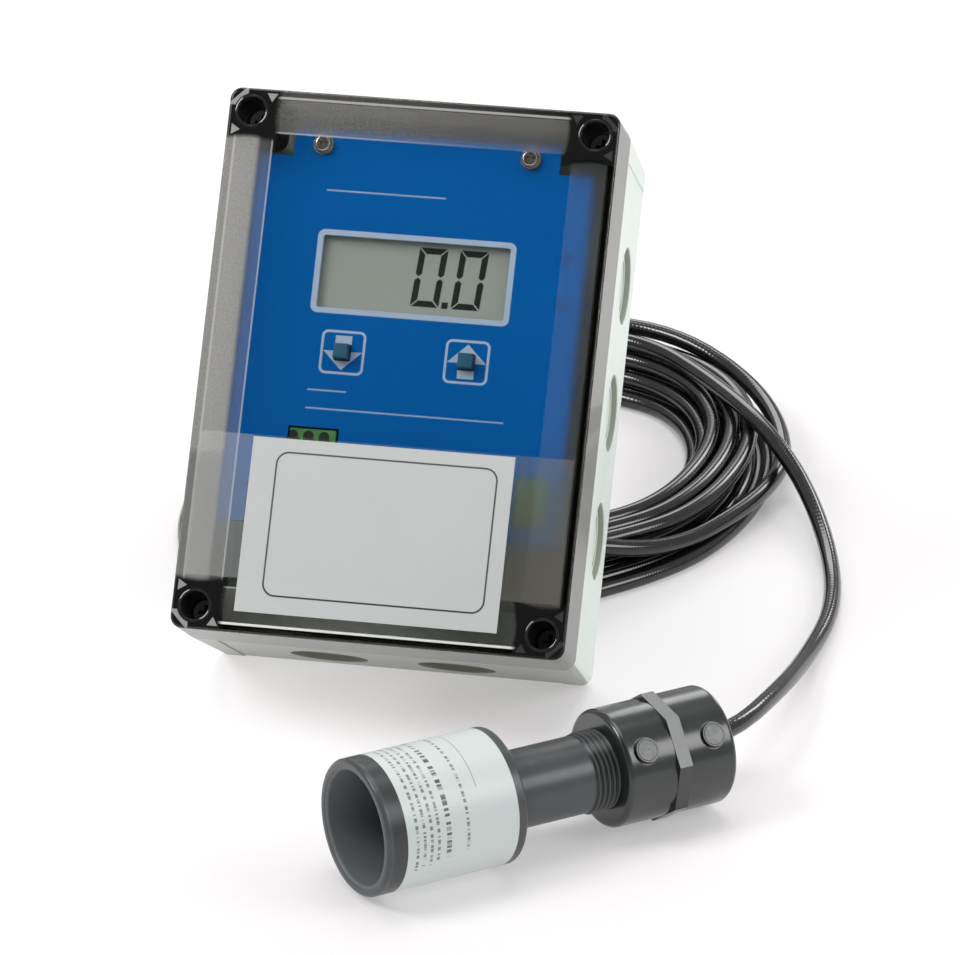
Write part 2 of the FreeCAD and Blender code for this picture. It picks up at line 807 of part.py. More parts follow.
def box_placement(base):
    """Lean the upright box back on its lower rear edge and stand that edge on the floor."""
    turn = FreeCAD.Rotation(V(1, 0, 0), -lean_deg)
    placed = base.copy()
    to_edge = FreeCAD.Placement(V(0, -box_depth, 0), FreeCAD.Rotation())
    lean = FreeCAD.Placement(V(0, 0, 0), turn)
    placed.Placement = lean.multiply(to_edge)
    low = placed.optimalBoundingBox(False, False).ZMin
    shift = FreeCAD.Placement(V(box_place_x, box_place_y, -low), FreeCAD.Rotation())
    return shift.multiply(lean).multiply(to_edge)


def sensor_placement():
    """Lay the sensor on the rear edge of its cup and on the lowest corner of the coupling's band."""
    band_far = band_middle + band_wide / 2.0
    band_low = -min(z for y, z in band_corners())
    rest_at = cup_long - cup_back_round
    tilt = math.atan2(cup_r - band_low, band_far - rest_at)
    turn = FreeCAD.Rotation(V(0, 0, 1), sensor_yaw_deg).multiply(
        FreeCAD.Rotation(V(0, 1, 0), math.degrees(tilt)))
    high = cup_r * math.cos(tilt) + rest_at * math.sin(tilt)
    return FreeCAD.Placement(V(sensor_mouth_x, sensor_mouth_y, high), turn)


def lead_route():
    """The cable's points, from the sealing compound out of the coupling to the coil."""
    place = sensor_placement()
    start = place.multVec(V(thread_to, 0, 0))
    out = place.multVec(V(thread_to + lead_straight, 0, 0))
    return [start, out] + [V(*p) for p in lead_points]


def build():
    base = base_housing()
    in_box = {
        "base_housing": base,
        "cover": cover(),
        "cover_seal": cover_seal(),
        "cover_screws": cover_screws(),
        "tag_card": tag_card(),
        "tag_tape": tag_tape(),
        "faceplate": faceplate(),
        "faceplate_screws": faceplate_screws(),
        "faceplate_washers": faceplate_washers(),
        "board_spacers": board_spacers(),
        "post_inserts": post_inserts(),
        "circuit_board": circuit_board(),
        "lcd_cell": lcd_cell(),
        "lcd_frame": lcd_frame(),
        "lcd_header": lcd_header(),
        "down_switch": push_switch(-button_x),
        "up_switch": push_switch(button_x),
        "down_button": push_button(-button_x),
        "up_button": push_button(button_x),
        "sensor_terminals": terminal_block("sensor"),
        "sensor_terminal_screws": terminal_screws("sensor"),
        "relay_terminals": terminal_block("relay"),
        "relay_terminal_screws": terminal_screws("relay"),
        "relay": board_piece(relay_size, relay_at),
        "processor": board_piece(chip_size, chip_at),
        "capacitors": capacitors(),
        "status_leds": status_leds(),
    }
    in_sensor = {
        "sensor_housing": sensor_housing(),
        "sensor_label": sensor_label(),
        "pipe_coupling": pipe_coupling(),
    }
    in_sensor.update(sensor_insides())
    box_place = box_placement(base)
    sensor_place = sensor_placement()
    nodes = {}
    for name, shape in in_box.items():
        shape.Placement = box_place.multiply(shape.Placement)
        nodes[name] = shape
    for name, shape in in_sensor.items():
        shape.Placement = sensor_place.multiply(shape.Placement)
        nodes[name] = shape
    coil = coil_ring()
    nodes["cable_coil"] = coil
    nodes["cable_lead"] = tube(lead_route(), cable_r).cut(coil)
    return nodes, box_place, sensor_place


if __name__ == "__main__":
    for node, solid in build()[0].items():
        solid.exportStep("parts/" + node + ".step")
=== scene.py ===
import json
import math
import bpy
import numpy as np
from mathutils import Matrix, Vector


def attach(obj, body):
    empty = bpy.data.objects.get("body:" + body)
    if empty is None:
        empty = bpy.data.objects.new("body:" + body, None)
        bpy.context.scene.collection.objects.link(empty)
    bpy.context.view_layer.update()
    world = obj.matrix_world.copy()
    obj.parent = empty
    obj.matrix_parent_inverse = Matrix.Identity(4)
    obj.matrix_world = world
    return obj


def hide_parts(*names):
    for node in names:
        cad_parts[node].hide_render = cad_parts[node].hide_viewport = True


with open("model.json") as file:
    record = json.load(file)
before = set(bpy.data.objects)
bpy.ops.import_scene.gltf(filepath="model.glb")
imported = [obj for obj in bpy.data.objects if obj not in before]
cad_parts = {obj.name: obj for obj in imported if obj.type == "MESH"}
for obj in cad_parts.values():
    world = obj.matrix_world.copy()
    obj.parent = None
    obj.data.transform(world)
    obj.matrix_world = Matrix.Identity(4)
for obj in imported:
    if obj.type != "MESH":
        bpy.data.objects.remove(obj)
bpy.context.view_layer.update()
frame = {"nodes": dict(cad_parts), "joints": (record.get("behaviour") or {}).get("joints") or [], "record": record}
nodes = frame["nodes"]
record = frame["record"]
mm = 0.001
print("frame:", len(nodes), "CAD nodes")


def nodePoints(name):
    # all vertices of one CAD node as rows of x, y, z
    mesh = nodes[name].data
    flat = np.empty(len(mesh.vertices) * 3)
    mesh.vertices.foreach_get("co", flat)
    return flat.reshape(-1, 3)


def boxAxes():
    # the leaning box: across, into the box, up its face, and the lower front corner line's middle
    lift = next(j for j in frame["joints"] if j["name"] == "cover_lift")
    inward = -np.array(lift["axis"], float)
    across = np.array((1.0, 0.0, 0.0))
    upward = np.cross(across, inward)
    cover = nodePoints("cover")
    low, high = cover[:, 0].min(), cover[:, 0].max()
    start = across * (low + high) / 2 + inward * (cover @ inward).min() + upward * (cover @ upward).min()
    return across, inward, upward, start


def sensorAxes():
    # the lying sensor: along its axis from the mouth, level sideways, and up
    mount = next(m for m in record["mounts"] if m["name"] == "conduit_socket")
    along = np.array(mount["axis"], float)
    along /= np.linalg.norm(along)
    sideways = np.cross((0.0, 0.0, 1.0), along)
    sideways /= np.linalg.norm(sideways)
    at = np.array(mount["pos_m"], float)
    mouth = (nodePoints("sensor_housing") @ along).min()
    return along, sideways, np.cross(along, sideways), at + along * (mouth - at @ along)


boxAcross, boxInward, boxUpward, boxStart = boxAxes()
sensorAlong, sensorSideways, sensorUp, sensorMouth = sensorAxes()
boxLean = math.atan2(-boxInward[2], boxInward[1])


# camera, floor and light

view = {
    "stand": (0.3459, -1.7575, 0.9235),  # where the camera stands
    "lookAt": (-0.0016, 0.0224, 0.0795),
    "lens": 230.3,
}
studio = {
    "floorTone": (0.56, 0.545, 0.55),
    "floorGlow": 0.36,
    "floorReach": 4.0,
    "floorTint": (1.0, 0.985, 0.99),
    "floorShadeAndLightPatches": (  # x, y, reach, change of the emission: painted shade inside the coil, painted light by the box's left end
        (0.030, 0.215, 0.10, -0.62),
        (-0.085, -0.02, 0.12, 0.75),
    ),
    "surround": (0.985, 0.985, 1.0),
    "surroundStrength": 0.50,
    "darkCard": ((-1.118, -4.756, 4.442), (0.0, -0.05, 0.10), 5.2),  # place, what it faces, width
    "felt": ((0.008, 0.008, 0.008), (0.014, 0.014, 0.014)),
    "lamps": (  # name, place, aimed at, width, height, watts
        ("keyLamp", (-1.25, -0.65, 1.55), (0.0, 0.0, 0.08), 0.7, 0.7, 17.0),
        ("sideLamp", (1.45, -0.25, 0.95), (0.0, 0.0, 0.08), 0.7, 0.7, 8.0),
        ("topLamp", (0.0, 0.25, 1.9), (0.0, 0.1, 0.0), 1.2, 1.2, 13.0),
        ("backLamp", (-0.35, 1.35, 0.95), (0.0, 0.1, 0.03), 0.9, 0.6, 6.0),
        ("leadLamp", (0.54, 1.28, 0.65), (0.09, 0.0, 0.01), 0.35, 0.35, 2.2),
    ),
}


def aim(thing, place, target):
    thing.location = place
    thing.rotation_euler = (Vector(target) - Vector(place)).to_track_quat("-Z", "Y").to_euler()
    bpy.context.scene.collection.objects.link(thing)


def setStudio():
    camera = bpy.data.objects.new("camera", bpy.data.cameras.new("camera"))
    camera.data.lens = view["lens"]
    camera.data.clip_end = 50.0
    aim(camera, view["stand"], view["lookAt"])
    bpy.context.scene.camera = camera
    bpy.context.scene.view_settings.view_transform = "Standard"
    for name, place, target, wide, high, watts in studio["lamps"]:
        lamp = bpy.data.lights.new(name, "AREA")
        lamp.shape = "RECTANGLE"
        lamp.size, lamp.size_y, lamp.energy = wide, high, watts
        aim(bpy.data.objects.new(name, lamp), place, target)
    world = bpy.data.worlds.new("surround")
    world.use_nodes = True
    back = world.node_tree.nodes["Background"]
    back.inputs["Color"].default_value = (*studio["surround"], 1.0)
    back.inputs["Strength"].default_value = studio["surroundStrength"]
    bpy.context.scene.world = world


setStudio()
print("camera and lamps set")


# shader maths

class Sock:
    # one output socket of a material; arithmetic on it adds Math nodes
    def __init__(self, tree, socket=None):
        self.tree = tree
        self.socket = socket

    def add(self, kind, settings=None, sockets=None, out=0):
        node = self.tree.nodes.new("ShaderNode" + kind)
        for name, value in (settings or {}).items():
            setattr(node, name, value)
        for name, value in (sockets or {}).items():
            if isinstance(value, Sock):
                self.tree.links.new(value.socket, node.inputs[name])
            else:
                node.inputs[name].default_value = value
        return Sock(self.tree, node.outputs[out] if node.outputs else None)

    def math(self, operation, first, *others):
        return self.add("Math", {"operation": operation}, dict(enumerate((first, *others))))

    def __add__(self, other):
        return self.math("ADD", self, other)

    __radd__ = __add__

    def __sub__(self, other):
        return self.math("SUBTRACT", self, other)

    def __rsub__(self, other):
        return self.math("SUBTRACT", other, self)

    def __mul__(self, other):
        return self.math("MULTIPLY", self, other)

    __rmul__ = __mul__

    def __abs__(self):
        return self.math("ABSOLUTE", self)

    def lowest(self, other):
        return self.math("MINIMUM", self, other)

    def highest(self, other):
        return self.math("MAXIMUM", self, other)

    def fade(self, start, end):
        # 0 before start, 1 after end, smooth between
        span = {"Value": self, "From Min": start, "From Max": end}
        return self.add("MapRange", {"interpolation_type": "SMOOTHSTEP"}, span)

    def tone(self, low, high):
        # colour that goes from low to high as this value goes from 0 to 1
        ends = [c if isinstance(c, Sock) else (*c, 1.0) for c in (low, high)]
        return self.add("Mix", {"data_type": "RGBA"}, {0: self, 6: ends[0], 7: ends[1]}, 2)

    def split(self):
        parts = self.add("SeparateXYZ", {}, {0: self})
        outs = parts.socket.node.outputs
        return [Sock(self.tree, outs[i]) for i in range(3)]

    def noise(self, scale, detail=3.0, rough=0.55, stretch=None):
        at = self
        if stretch:
            at = self.add("Mapping", {}, {"Vector": self, "Scale": stretch})
        return self.add("TexNoise", {}, {"Vector": at, "Scale": scale, "Detail": detail, "Roughness": rough})


def newFinish(slot):
    material = bpy.data.materials.new(slot)
    material.use_nodes = True
    material.node_tree.nodes.clear()
    return material, Sock(material.node_tree)


def placeOf(s):
    # object coordinates, the texture node's fourth output
    return s.add("TexCoord", {}, {}, 3)


def boxPlace(s):
    # object coordinates turned into the box's own: x across, y inward from the front, z up
    turn = np.array((boxAcross, boxInward, boxUpward))
    shift = {"Location": tuple(-turn @ boxStart), "Rotation": (boxLean, 0.0, 0.0)}
    return s.add("Mapping", {}, {"Vector": placeOf(s), **shift})


def sensorPlace(s):
    # object coordinates turned into the sensor's own: x from the mouth, y sideways, z up
    yaw = math.atan2(sensorAlong[1], sensorAlong[0])
    pitch = math.asin(-sensorAlong[2])
    level = s.add("VectorMath", {"operation": "SUBTRACT"}, {0: placeOf(s), 1: tuple(sensorMouth)})
    turned = s.add("VectorRotate", {"rotation_type": "Z_AXIS"}, {"Vector": level, "Angle": -yaw})
    return s.add("VectorRotate", {"rotation_type": "Y_AXIS"}, {"Vector": turned, "Angle": -pitch})


def roundBox(x, z, centre, half, radius):
    # distance to a rounded rectangle's edge: corner distance less the radius, negative inside
    across = abs(x - centre[0]) - (half[0] - radius)
    up = abs(z - centre[1]) - (half[1] - radius)
    a, b = across.highest(0.0), up.highest(0.0)
    outside = a.math("SQRT", a * a + b * b)
    return outside + across.highest(up).lowest(0.0) - radius


def surface(s, sockets, volume=None, through=None, layers=()):
    # one shader, then each layer mixed over it by its mask
    shader = s.add("BsdfPrincipled", {}, sockets)
    for mask, over in layers:
        shader = s.add("MixShader", {}, {0: mask, 1: shader, 2: s.add("BsdfPrincipled", {}, over)})
    if through:
        # lamps shine through: shadow rays meet a plain tinted pane
        pane = s.add("BsdfTransparent", {}, {"Color": (*through, 1.0)})
        shadowRay = s.add("LightPath", {}, {}, 1)
        shader = s.add("MixShader", {}, {0: shadowRay, 1: shader, 2: pane})
    ends = {"Surface": shader}
    if volume:
        ends["Volume"] = s.add("VolumeAbsorption", {}, volume)
    s.add("OutputMaterial", {}, ends)


def plainFinish(slot, low, high, rough, spread=0.08, scale=60.0, grain=900.0, depth=0.00003, **fixed):
    # mottled tone, uneven gloss and a fine grain, for moulded, plated and turned pieces
    material, s = newFinish(slot)
    at = placeOf(s)
    mottle = at.noise(scale, 4.0)
    fine = at.noise(grain, 2.0)
    bump = s.add("Bump", {}, {"Strength": 0.5, "Distance": depth, "Height": fine})
    surface(s, {
        "Base Color": mottle.fade(0.3, 0.7).tone(low, high),
        "Roughness": rough + (mottle - 0.5) * spread + (fine - 0.5) * spread,
        "Normal": bump,
        **fixed,
    })
    return material


# cable

cable = {
    "diameter": 6.0 * mm,
    "length": 7.5,
    "lead": (  # out of the sensor, along the floor and up onto the coil
        (0.068401, -0.047755, 0.020272),
        (0.0885, -0.0300, 0.0198),
        (0.0988, 0.0180, 0.0138),
        (0.1020, 0.0630, 0.0045),
        (0.1052, 0.1020, 0.00305),
        (0.0985, 0.1440, 0.00305),
        (0.0835, 0.1820, 0.0120),
        (0.0660, 0.2060, 0.0206),
    ),
    "coilAt": (-0.0300, 0.17191),
    "halfLong": 108.7 * mm,
    "halfShort": 78.8 * mm,
    "turnDeg": 66.4,
    "stepDeg": 15.0,
    "cutIn": 1.0 * mm,  # how far the smooth line runs inside its points
    "rowHigh": (3.05, 9.12, 15.19, 21.26),
    "rowSpace": 7.0,
    "dents": (  # where the pile is pressed in: degrees, spread, depth at the floor, depth at the top row
        (-60.0, 25.0, 10.5, 19.0),
        (-5.0, 40.0, 2.5, 2.5),
    ),
    "squeeze": (75.0, 40.0, 0.114),  # where the turns close up outwards: degrees, spread, share
    "wobble": (0.12 * mm, 2.4),  # how unevenly a turn lies, and its shift from turn to turn
    # degrees on each turn at which the cable moves to its next place
    "changes": (285.0, 270.0, 243.0, 224.0, 207.0, 190.0, 174.0, 153.0, 137.0, 124.0, 112.0, 100.0),
    "topTurn": ((34.0, 0.0, 22.0), (52.0, -8.0, 21.8), (75.0, -4.0, 21.4)),  # degrees, across, height
    "looseTurn": (  # the one turn that climbs over the pile's edge and stands away from it
        (270.0, -3.5, 21.3), (287.0, 7.5, 22.4), (301.0, 15.8, 19.8), (315.0, 16.0, 13.8), (331.0, 13.0, 9.6),
        (345.0, 14.0, 9.2), (382.0, 20.5, 8.6), (402.0, 17.0, 12.8),
        (424.0, 11.0, 21.2), (455.0, 8.8, 21.8), (490.0, 3.6, 21.3),
    ),
    "stepOver": (11.5, 9.5),  # across and height where the cable comes down onto the floor row
    "changeDeg": 9.5,  # half the turn over which the cable moves to its next place
    "floorChange": 1.6,  # how many times wider that is on the way down to the floor row
    "endShort": 20.0,  # the loose end lies a full turn less these degrees after the last change
    "ribPitch": 1.3 * mm,
    "jacket": ((0.004, 0.0043, 0.0042), (0.012, 0.0125, 0.0115)),
}


def coilPlaces():
    # where each turn lies in the pile: out from the mean oval and up, top row first, then row by row
    rows = cable["rowHigh"]
    across = cable["rowSpace"]
    places = [(-0.5, 3), (0.5, 3)]
    places += [(k, 2) for k in (1, 0, -1)]
    places += [(k, 1) for k in (-1.5, -0.5, 0.5)]
    places += [(k, 0) for k in (2, 1, 0, -1, -2)]
    return [(k * across, rows[row]) for k, row in places]


def coilKeys():
    # (degrees, across, height) along the whole coil; each change comes a little earlier than the last
    places = coilPlaces()
    changes = cable["changes"]
    keys = list(cable["topTurn"])
    for turn, at in enumerate(changes):
        total = at + 360.0 * turn
        toFloor = places[turn + 1][1] == places[-1][1] and places[turn][1] > places[-1][1]
        wide = cable["changeDeg"] * (cable["floorChange"] if toFloor else 1.0)
        if turn == 0:
            keys += cable["looseTurn"]
            continue
        keys.append((total - wide, *places[turn]))
        if toFloor:
            keys.append((total, *cable["stepOver"]))
        keys.append((total + wide, *places[turn + 1]))
    keys.append((changes[-1] + 360.0 * len(changes) - cable["endShort"], *places[-1]))
    return np.array(keys)


def bell(degrees, at, spread):
    # bell curve round one bearing: e to minus the squared share of the spread
    away = (degrees - at + 180.0) % 360.0 - 180.0
    return np.exp(-(away / spread) ** 2)


def coilPoints():
    # oval of half axes a + across and b + across, with across and height eased between the keys
    keys = coilKeys()
    degrees = np.arange(keys[0, 0], keys[-1, 0], cable["stepDeg"])
    after = np.clip(np.searchsorted(keys[:, 0], degrees, "right"), 1, len(keys) - 1)
    before = after - 1
    share = (degrees - keys[before, 0]) / (keys[after, 0] - keys[before, 0])
    ease = (0.5 - 0.5 * np.cos(np.pi * np.clip(share, 0, 1)))[:, None]
    across, height = (keys[before, 1:] + ease * (keys[after, 1:] - keys[before, 1:])).T * mm
    uneven, shift = cable["wobble"]
    across += uneven * np.sin(np.radians(degrees * 2) + degrees // 360 * shift)
    at, spread, share = cable["squeeze"]
    outermost = max(place[0] for place in coilPlaces()) * mm
    across += (outermost - across) * share * bell(degrees, at, spread)
    rise = (height / mm - cable["rowHigh"][0]) / (cable["rowHigh"][-1] - cable["rowHigh"][0])
    for at, spread, low, high in cable["dents"]:
        # the dent's depth goes evenly from its floor value to its top value
        across -= (low + (high - low) * rise) * mm * bell(degrees, at, spread)
    polar = np.radians(degrees - cable["turnDeg"])
    a, b = cable["halfLong"], cable["halfShort"]
    angle = np.arctan2(a * np.sin(polar), b * np.cos(polar))
    reach = across + cable["cutIn"]
    reach[-1] -= 2 * cable["cutIn"]  # the loose end lies a little further in
    x, y = (a + reach) * np.cos(angle), (b + reach) * np.sin(angle)
    turn = math.radians(cable["turnDeg"])
    cx, cy = cable["coilAt"]
    return np.stack((
        cx + x * math.cos(turn) - y * math.sin(turn),
        cy + x * math.sin(turn) + y * math.cos(turn),
        height,
    ), 1)


def makeCable():
    points = np.vstack((np.array(cable["lead"]), coilPoints()))
    data = bpy.data.curves.new("sensorCable", "CURVE")
    data.dimensions = "3D"
    spline = data.splines.new("NURBS")
    spline.points.add(len(points) - 1)
    spline.points.foreach_set("co", np.hstack((points, np.ones((len(points), 1)))).ravel())
    spline.points.foreach_set("radius", np.full(len(points), cable["diameter"] / 2))
    spline.order_u = 3
    spline.use_endpoint_u = True
    spline.resolution_u = 5
    data.bevel_depth = 1.0  # times each point's radius
    data.bevel_resolution = 4
    data.use_fill_caps = True
    piece = bpy.data.objects.new("sensorCable", data)
    bpy.context.scene.collection.objects.link(piece)
    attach(piece, "transmitter")
    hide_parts("cable_lead", "cable_coil")
    return piece


sensorCable = makeCable()
print("cable laid")


def cableFinish():
    # black jacket, glossy on top of the fine ribs that the shield inside presses into it
    material, s = newFinish("cable_jacket")
    length, _, _ = s.add("TexCoord", {}, {}, 2).split()  # share of the way along the cable
    ribs = s.math("SINE", length * (cable["length"] / cable["ribPitch"] * 2 * math.pi))
    at = placeOf(s)
    dust = at.noise(240.0, 5.0, 0.6)
    patch = at.noise(30.0, 2.0)
    bump = s.add("Bump", {}, {"Strength": 0.26, "Distance": 0.00006, "Height": ribs * 0.5 + dust * 0.2})
    surface(s, {
        "Base Color": dust.fade(0.35, 0.8).tone(*cable["jacket"]),
        "Roughness": 0.13 + (patch - 0.5) * 0.08 + (dust - 0.5) * 0.06,
        "Normal": bump,
        "Specular IOR Level": 0.7,
    })
    return material


sensorCable.data.materials.append(cableFinish())


def floorFinish():
    # white sheet that glows evenly, with painted shade and painted light in soft round patches
    material, s = newFinish("floorSheet")
    x, y, _ = placeOf(s).split()
    glowWithPaintedShadeAndLight = 1.0
    for patchX, patchY, reach, change in studio["floorShadeAndLightPatches"]:
        gapX, gapY = x - patchX, y - patchY
        glowWithPaintedShadeAndLight = glowWithPaintedShadeAndLight + s.math("SQRT", gapX * gapX + gapY * gapY).fade(reach, 0.0) * change
    tint = s.add("CombineXYZ", {}, {i: glowWithPaintedShadeAndLight * share for i, share in enumerate(studio["floorTint"])})
    surface(s, {
        "Base Color": (*studio["floorTone"], 1.0),
        "Roughness": 0.6,
        "Specular IOR Level": 0.1,
        "Emission Color": tint,
        "Emission Strength": studio["floorGlow"],
    })
    return material


def cardFelt():
    # black felt that the cover's front mirrors
    material, s = newFinish("cardFelt")
    nap = placeOf(s).noise(40.0, 3.0)
    surface(s, {"Base Color": nap.tone(*studio["felt"]), "Roughness": 0.9})
    return material


def stageSheet(name, corners, finish):
    mesh = bpy.data.meshes.new(name)
    mesh.from_pydata(corners, [], [(0, 1, 2, 3)])
    mesh.materials.append(finish)
    sheet = bpy.data.objects.new(name, mesh)
    bpy.context.scene.collection.objects.link(sheet)


def makeStage():
    reach = studio["floorReach"]
    corners = [(-reach, -reach, 0), (reach, -reach, 0), (reach, reach, 0), (-reach, reach, 0)]
    stageSheet("floor", corners, floorFinish())
    place, faces, wide = studio["darkCard"]
    away = np.array(faces) - np.array(place)
    level = np.cross(away, (0.0, 0.0, 1.0))
    level *= wide / 2 / np.linalg.norm(level)
    rise = np.cross(level, away)
    rise *= wide / 2 / np.linalg.norm(rise)
    middle = np.array(place)
    corners = [middle - level - rise, middle + level - rise, middle + level + rise, middle - level + rise]
    stageSheet("darkCard", corners, cardFelt())


makeStage()
print("floor and card set")


# smoked cover with a frosted border round a clear window

coverLook = {
    "middleUp": 90.0 * mm,
    "windowMiddle": (0.4 * mm, 90.0 * mm),
    "windowHalf": (49.6 * mm, 75.5 * mm),
    "windowRound": 1.2 * mm,
    "thick": 2.6 * mm,
    "frontDepth": (0.25 * mm, 0.6 * mm),
    "outerHalf": (64.0 * mm, 89.0 * mm),  # past these, from the cover's middle, lie its outer sides
    "sideDepth": (1.2 * mm, 2.0 * mm),
    "lipHalf": (61.9 * mm, 87.2 * mm),
    "lipRound": 1.0 * mm,
    "lipLow": (10.0 * mm, 4.0 * mm, 1.0),  # where the lip's painted highlight comes in: from, to, strength
    "lipHigh": (170.0 * mm, 176.0 * mm, 0.45),
    "lipLeft": (-56.0 * mm, -61.0 * mm, 0.3),
    "well": (57.2 * mm, 82.2 * mm, 5.0 * mm),  # from the cover's middle: across, up, radius
    "cornerBlock": 9.6 * mm,
    "hollow": (6.4 * mm, 1.6, 3.3 * mm, 6.4 * mm),  # along the edge, slope, point, far end
    "veilAcross": (62.0 * mm, -20.0 * mm),  # the border's painted light grows from and to these
    "veilUp": (4.0 * mm, 14.0 * mm),
    "veilTop": (160.0 * mm, 170.0 * mm),
    "leftStrip": (-52.3 * mm, -54.8 * mm),
    "tapeTop": (60.0 * mm, 56.0 * mm),
    "smoke": (0.17, 0.125, 0.06),
    "smokeDensity": 105.0,
    "clear": ((0.96, 0.955, 0.95), (0.99, 0.985, 0.98)),
    "frostRough": 0.42,
    # near black: the thick corner blocks, and painted shade inside the screw wells
    "dark": (0.010, 0.0105, 0.0105),
    # painted light in the corner hollows
    "pale": (0.42, 0.43, 0.41),
    # painted light on the frosted border
    "paintedLightMist": (0.60, 0.595, 0.565),
    "sideTone": (0.26, 0.265, 0.25),
    # painted highlights along the lip and the window's edge
    "lipHighlightTone": (0.85, 0.85, 0.83),
}


def coverCorners(s, x, y, z, front):
    # corner blocks, painted shade inside the screw wells, a bead round each well and painted light in each hollow
    # beside it
    wellX, wellZ, wellRadius = coverLook["well"]
    outX, outZ = abs(x) - wellX, abs(z - coverLook["middleUp"]) - wellZ
    fromWell = s.math("SQRT", outX * outX + outZ * outZ)
    inner = -0.75 * coverLook["cornerBlock"]
    block = (outX.lowest(outZ) + fromWell * 0.25).fade(inner, inner + 1.6 * mm)
    # painted shade: the screw wells' insides go near black
    wellShadeLining = fromWell.fade(wellRadius + 0.4 * mm, wellRadius + 0.1 * mm) * y.fade(0.2 * mm, 0.8 * mm)
    bead = abs(fromWell - wellRadius - 0.1 * mm).fade(0.5 * mm, 0.0) * front
    middle, slope, point, farEnd = coverLook["hollow"]

    def hollow(along, out):
        # three-sided hollow with its point towards the well
        sides = out - abs(along - middle) * slope - point
        return sides.fade(-0.1 * mm, 0.2 * mm) * out.fade(farEnd, farEnd - 0.3 * mm)

    # painted light: pale patches where the lit base shows through the thin front over the corner voids
    corner = outX.lowest(outZ).fade(1.6 * mm, 1.9 * mm) * fromWell.fade(5.8 * mm, 6.1 * mm)
    corner = corner * (outX + outZ).fade(10.3 * mm, 9.9 * mm)
    hollowsPaintedLight = hollow(-1 * outX, outZ).highest(hollow(-1 * outZ, outX)).highest(corner) * front
    hollowsPaintedLight = hollowsPaintedLight * (0.08 + 0.6 * x.fade(30.0 * mm, -30.0 * mm))  # painted light, paler towards the left
    return block, wellShadeLining, bead, hollowsPaintedLight


def coverFinish():
    # clear window; frosted border with painted light, sides, and lip with painted highlights; thick, near-black
    # corner blocks, painted shade in the wells and painted light in each pale hollow
    material, s = newFinish("smoked_plastic")
    at = boxPlace(s)
    x, y, z = at.split()
    up = abs(z - coverLook["middleUp"])
    edge = roundBox(x, z, coverLook["windowMiddle"], coverLook["windowHalf"], coverLook["windowRound"])
    border = edge.fade(-0.1 * mm, 0.1 * mm)
    front = 1 - y.fade(*coverLook["frontDepth"])
    innerFace = abs(y - coverLook["thick"]).fade(0.4 * mm, 0.2 * mm)
    speck = at.noise(2600.0, 1.0, 0.6)
    grit = at.noise(1500.0, 2.0, 0.7)
    smear = at.noise(45.0, 1.0)
    block, wellShadeLining, bead, hollowsPaintedLight = coverCorners(s, x, y, z, front)

    outerX, outerZ = coverLook["outerHalf"]
    side = (abs(x) - outerX).highest(up - outerZ).fade(-0.2 * mm, 0.2 * mm) * y.fade(*coverLook["sideDepth"])
    lip = roundBox(x, z, (0.0, coverLook["middleUp"]), coverLook["lipHalf"], coverLook["lipRound"])
    # painted highlights along the lip at the bottom, the top and the left
    highlightStrength = 0.0
    for along, name in ((z, "lipLow"), (z, "lipHigh"), (x, "lipLeft")):
        start, end, strength = coverLook[name]
        highlightStrength = highlightStrength + along.fade(start, end) * strength
    lip = abs(lip).fade(0.55 * mm, 0.25 * mm) * highlightStrength * front * (1 - block)
    frost = border * innerFace * (1 - block)
    step = abs(edge).fade(0.35 * mm, 0.0) * front * (1 - block)
    # painted highlight along the window's edge, stronger towards the left
    edgeHighlight = abs(edge).fade(0.4 * mm, 0.1 * mm) * front * (1 - block) * x.fade(40.0 * mm, -45.0 * mm)

    # painted light on the frosted border: thin and grainy, brighter in the left strip and at the top
    veilLight = border * front * (1 - block) * x.fade(*coverLook["veilAcross"]) * z.fade(*coverLook["veilUp"])
    grain = grit.fade(0.35, 0.75)
    thinVeilLight = (0.06 + 0.30 * grain) * (0.36 + 0.24 * z.fade(*coverLook["veilTop"]))
    underTape = z.fade(*coverLook["tapeTop"])
    leftVeilLight = x.fade(*coverLook["leftStrip"]) * (0.36 + 0.15 * grain) * (1 - 0.35 * underTape)
    veilLight = veilLight * thinVeilLight.highest(leftVeilLight)

    height = frost * speck + step * 1.5 + bead * 4.0
    bump = s.add("Bump", {}, {"Strength": 0.3, "Distance": 0.00012, "Height": height})
    names = ("smoke", "dark", "paintedLightMist", "sideTone", "lipHighlightTone", "pale")
    tones = {name: (*coverLook[name], 1.0) for name in names}
    surface(s, {
        "Base Color": smear.tone(*coverLook["clear"]),
        "Roughness": 0.025 + frost * (coverLook["frostRough"] + (speck - 0.5) * 0.16) + smear * 0.02,
        "Transmission Weight": 1.0,
        "IOR": 1.52,
        "Normal": bump,
    }, volume={
        "Color": tones["smoke"],
        "Density": coverLook["smokeDensity"],
    }, through=coverLook["clear"][0], layers=(
        # near black over the corner blocks; painted shade inside the screw wells
        (block.highest(wellShadeLining) * 0.97, {"Base Color": tones["dark"], "Roughness": 0.06, "Normal": bump}),
        # painted light on the frosted border
        (veilLight, {"Base Color": tones["paintedLightMist"], "Roughness": 0.6, "Specular IOR Level": 0.2}),
        (side * 0.76, {"Base Color": tones["sideTone"], "Roughness": 0.45}),
        # painted highlights along the lip and the window's edge
        ((lip + edgeHighlight * 0.35).lowest(1.0) * 0.9, {"Base Color": tones["lipHighlightTone"], "Roughness": 0.3}),
        # painted light in the corner hollows
        (hollowsPaintedLight, {"Base Color": tones["pale"], "Roughness": 0.5}),
    ))
    return material


# tag card and tape

